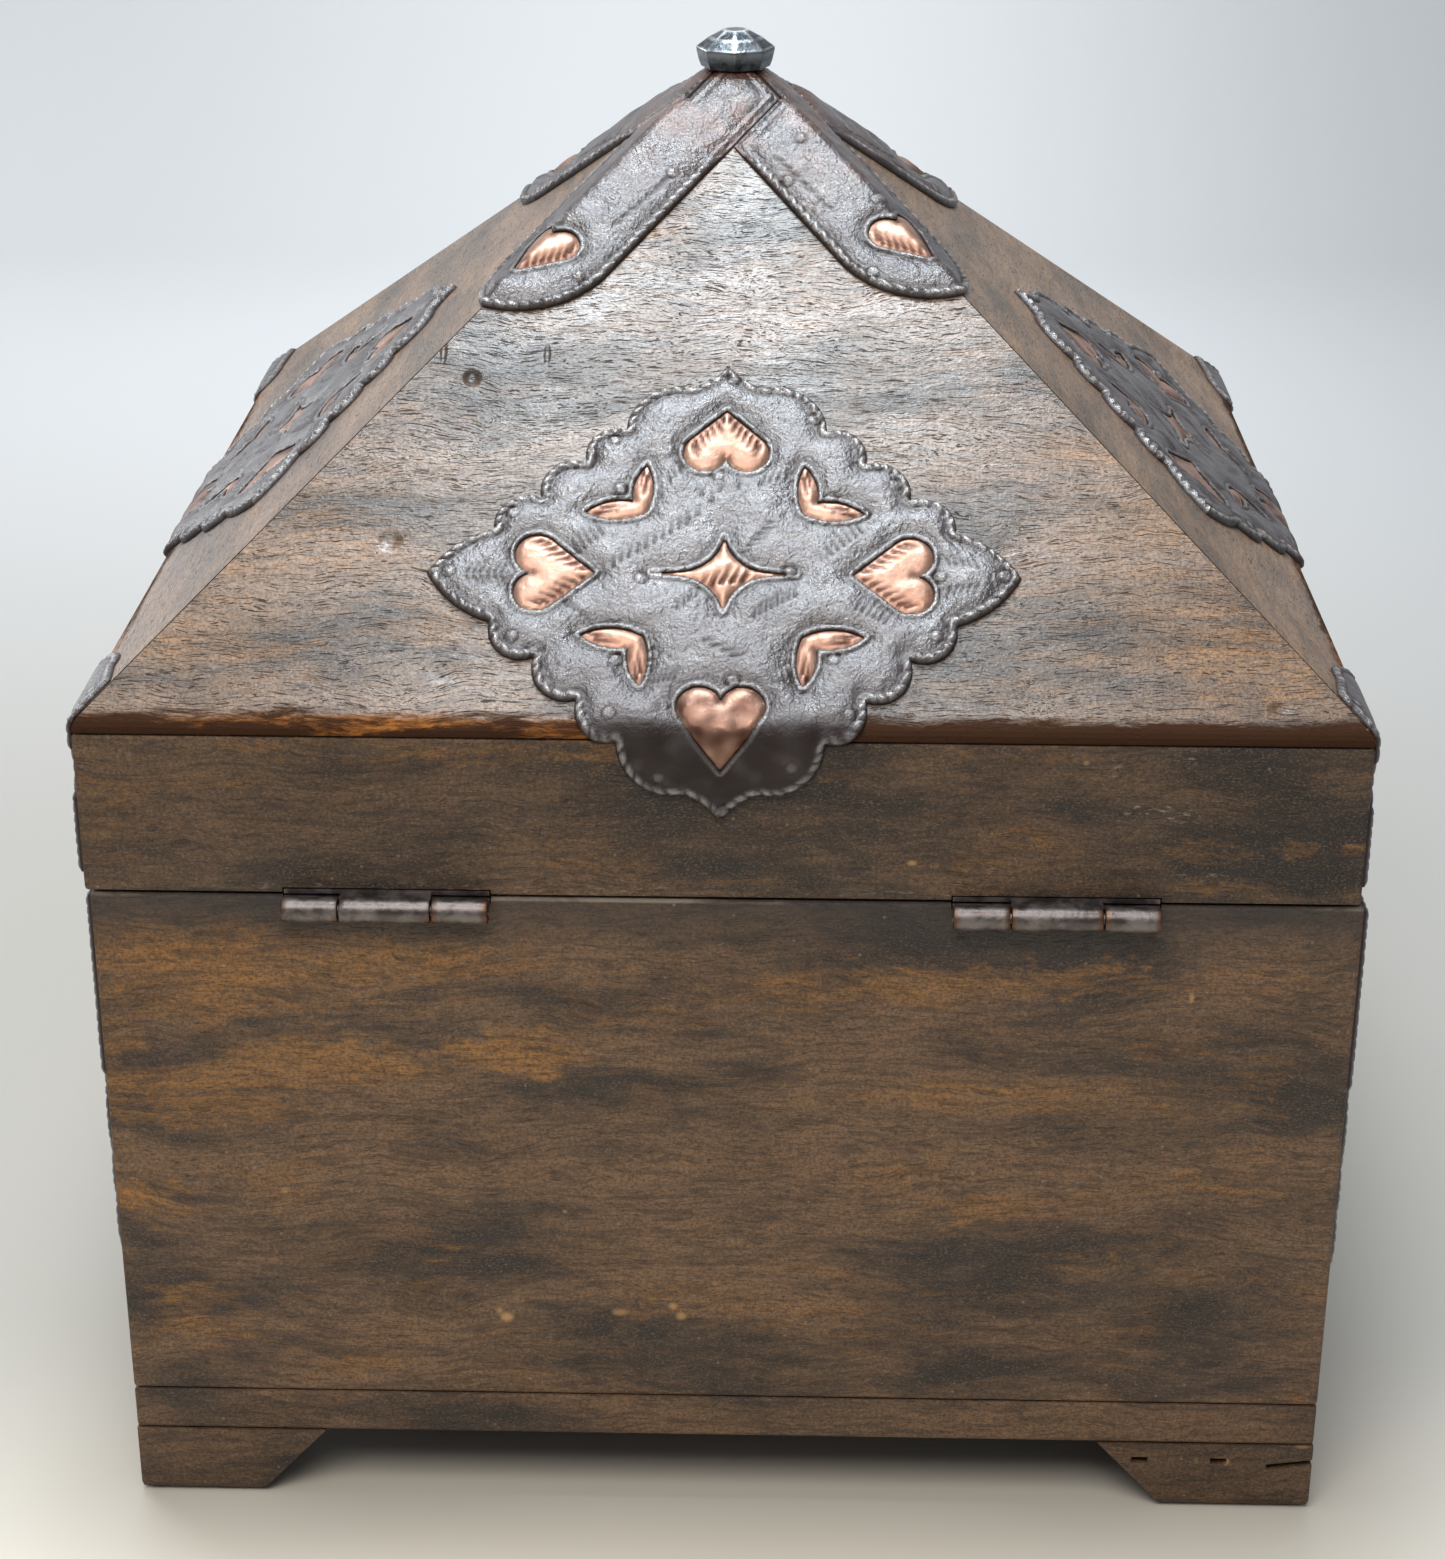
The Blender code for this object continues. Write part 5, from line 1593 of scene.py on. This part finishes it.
def plate_edge(hand):
    """A tall plate that steps back at its waist and narrows in scallops to its foot."""
    inset = CORNER_INSET
    low = inset + PLATE_STEP
    rest = PLATE_TALL - PLATE_WAIST
    points = [(inset, 0), (inset, -PLATE_WAIST)]
    points += scallops((low, -PLATE_WAIST - 0.06 * rest),
                       [(low, PLATE_WAIST + share * rest) for share in (0.4, 0.62, 0.84)], 0.08)
    ends = ((0.40, 0.86), (0.50, 0.69), (0.61, 0.51), (0.74, 0.33), (0.88, 0.16), (1, 0))
    points += scallops((0.24 * PLATE_WIDE, -PLATE_TALL), ends, 0.20, PLATE_WIDE, PLATE_TALL)
    edge = Z_BODY_TOP - inset
    return [(hand * (HALF - u), edge + v) for u, v in points]


def body_plate(name, hand, turn, seed):
    """One plate at an upright edge of the body."""
    drawing = Drawing([plate_edge(hand)])
    edge = Z_BODY_TOP - CORNER_INSET
    nails = [(hand * (HALF - u), edge - v) for u, v in
             ((4.2, 4.0), (25.0, 3.6), (4.0, 33.0), (14.5, 33.0), (8.0, 60.0), (18.0, 16.0),
              (7.6, 78.5))]
    marks = [tuple((hand * (HALF - u), edge - v) for u, v in stroke)
             for stroke in hatch((8.0, 8.0), (20.0, 8.0), 8, 75, 2.8)
             + hatch((7.0, 42.0), (12.0, 42.0), 4, 75, 2.8)
             + hatch((8.0, 24.0), (15.0, 24.0), 5, 75, 2.8)]
    plate = closed_sheet(lattice(drawing, PITCH_PLATE),
                         thin_iron(drawing, nails, marks, seed), iron_underside(drawing))
    bmesh.ops.rotate(plate, verts=plate.verts, cent=(0, 0, 0),
                     matrix=Matrix.Rotation(pi / 2, 3, "X"))
    bmesh.ops.translate(plate, verts=plate.verts, vec=(0, -HALF, 0))
    hang(plate, name.replace("plate", "plate_iron"), IRON, "body", BODY_MIDDLE, turn,
         name)


for seed, (hand, right_end, left_end) in enumerate(((1, "back", "front"), (-1, "front", "back"))):
    body_plate("plate_right_" + right_end, hand, pi / 2, 40 + seed)
    body_plate("plate_left_" + left_end, hand, -pi / 2, 44 + seed)

# %% [markdown]
# ## The finial
# The peak is held by a large hand-made nail with a faceted head. Its profile is spun around
# the axis in only eight steps, which leaves flat facets. Each facet gets a narrow border, so
# that the ridges between the facets can be rubbed brighter than the facets themselves.

# %% Finial
FINIAL_SIDES = 8
FINIAL_PROFILE = ((0, 7.3), (2.6, 7.3), (5.5, 5.75), (8.0, 3.9), (8.0, 3.3), (7.6, 1.6),
                  (7.0, 0), (1.5, 0), (1.5, -6.2), (0, -7.7))
FINIAL_WORN = 0.22
FACET_BORDER = 0.55


def add_finial():
    """Spins the head and its shank, and marks how bright each ridge and facet is."""
    bm = bmesh.new()
    points = [bm.verts.new((radius, 0, height)) for radius, height in FINIAL_PROFILE]
    line = [bm.edges.new(pair) for pair in zip(points, points[1:])]
    bmesh.ops.spin(bm, geom=points + line, cent=(0, 0, 0), axis=(0, 0, 1), angle=2 * pi,
                   steps=FINIAL_SIDES, use_merge=True)
    bmesh.ops.remove_doubles(bm, verts=bm.verts, dist=1e-4)
    bmesh.ops.dissolve_limit(bm, angle_limit=0.01, verts=bm.verts, edges=bm.edges)
    bmesh.ops.recalc_face_normals(bm, faces=bm.faces)
    ridges = [edge for edge in bm.edges if min(vert.co.z for vert in edge.verts) > 1
              and edge.calc_face_angle() > 0.1]
    bmesh.ops.bevel(bm, geom=ridges, offset=FINIAL_WORN, segments=2, profile=0.5,
                    affect="EDGES", material=-1)
    polish = bm.verts.layers.float.new("polish")
    for vert in bm.verts:
        vert[polish] = 1.0 if vert.co.z > 3.7 else 0.25 if vert.co.z > 3 else 0.0
    facets = [face for face in bm.faces if face.calc_area() > 4 and face.normal.z > 0.1]
    bmesh.ops.inset_individual(bm, faces=facets, thickness=FACET_BORDER)
    for face in facets:
        for vert in face.verts:
            vert[polish] = 0.12
    bmesh.ops.translate(bm, verts=bm.verts, vec=(0, 0, Z_FLAT + 2 * GAP))
    hang(bm, "finial_head", FINIAL_STEEL, "lid", LID_MIDDLE, 0, "finial", 0.35)


add_finial()

# %% [markdown]
# ## The hinges
# Two butt hinges are let into the back. Only their rolled knuckles show: two outer ones on the
# body and a middle one on the lid. A knuckle is a chamfered wall that is spun around the
# hinge's axis. Rust gathers where two knuckles meet, so the ends are marked on the mesh.
# Points that are in place carry a tag, so that only a new ring is moved onto the axis.

# %% Hinges
BACK_FACE = PLAN_Y + HALF
HINGE_X, HINGE_LENGTH, HINGE_MIDDLE = 61.9, 38.1, 17.1
HINGE_RADIUS, HINGE_OUT, HINGE_DROP = 2.35, 2.7, 1.5
PIN_RADIUS, LEAF_THICK, LEAF_DEEP, WEB_THICK = 1.1, 0.9, 8.3, 0.5
HINGE_AXIS = Vector((0, BACK_FACE + HINGE_OUT, Z_BODY_TOP - HINGE_DROP))
KNUCKLE_ROUND = 0.3
RUSTY_END = 1.3
WEB_LIFT = 0.01
LEAVES_APART = 0.5


def knuckle(bm, start, end, rust):
    """A chamfered wall around the pin, with rust marked at both ends."""
    bore = PIN_RADIUS + GAP
    edge, worn = HINGE_RADIUS - KNUCKLE_ROUND, KNUCKLE_ROUND
    profile = [(start, bore), (start, edge), (start + worn * 0.3, edge + worn * 0.7),
               (start + worn, HINGE_RADIUS), (start + RUSTY_END, HINGE_RADIUS),
               (end - RUSTY_END, HINGE_RADIUS), (end - worn, HINGE_RADIUS),
               (end - worn * 0.3, edge + worn * 0.7), (end, edge), (end, bore)]
    points = [bm.verts.new((x, 0, radius)) for x, radius in profile]
    line = [bm.edges.new((points[index - 1], points[index])) for index in range(len(points))]
    bmesh.ops.spin(bm, geom=points + line, cent=(0, 0, 0), axis=(1, 0, 0), angle=2 * pi,
                   steps=32, use_merge=True)
    ring = [vert for vert in bm.verts if not vert.tag]
    for vert in ring:
        vert.tag = True
        ends = min(abs(vert.co.x - start), abs(vert.co.x - end))
        vert[rust] = 1.0 if ends < worn * 1.5 else 0.0
    bmesh.ops.translate(bm, verts=ring, vec=HINGE_AXIS)


def slab(bm, low, high):
    """A flat block between two corners."""
    made = bmesh.ops.create_cube(bm, size=1)["verts"]
    low, high = Vector(low), Vector(high)
    bmesh.ops.scale(bm, verts=made, vec=high - low)
    bmesh.ops.translate(bm, verts=made, vec=(low + high) / 2)
    for vert in made:
        vert.tag = True


def add_leaf(name, body, low, knuckles, web_end, x):
    """A leaf with its knuckles and the webs that join them."""
    bm = bmesh.new()
    rust = bm.verts.layers.float.new("rust")
    half = HINGE_LENGTH / 2
    slab(bm, (-half, BACK_FACE - LEAF_DEEP, low), (half, BACK_FACE, low + LEAF_THICK))
    for start, end in knuckles:
        slab(bm, (start, BACK_FACE - LEAF_DEEP / 2, low + WEB_LIFT),
             (end, web_end, low + WEB_THICK))
        knuckle(bm, start, end, rust)
    bmesh.ops.translate(bm, verts=bm.verts, vec=(x, 0, 0))
    hang(bm, name.replace("leaf", "knuckles"), STEEL, body, (0, 0, 0), 0, name,
         0.6)


half, middle = HINGE_LENGTH / 2, HINGE_MIDDLE / 2
OUTER = [(-half, -middle - GAP / 2), (middle + GAP / 2, half)]
INNER = [(GAP / 2 - middle, middle - GAP / 2)]
mid_wall = HINGE_AXIS.y - (HINGE_RADIUS + PIN_RADIUS + GAP) / 2
for side, x in (("right", HINGE_X), ("left", -HINGE_X)):
    add_leaf("hinge_body_leaf_" + side, "body", Z_BODY_TOP - LEAF_THICK, OUTER, mid_wall, x)
    add_leaf("hinge_lid_leaf_" + side, "lid", Z_BODY_TOP + LEAVES_APART, INNER, HINGE_AXIS.y, x)
print("the hinges turn about a line", round(HINGE_AXIS.z, 2), "mm above the floor")
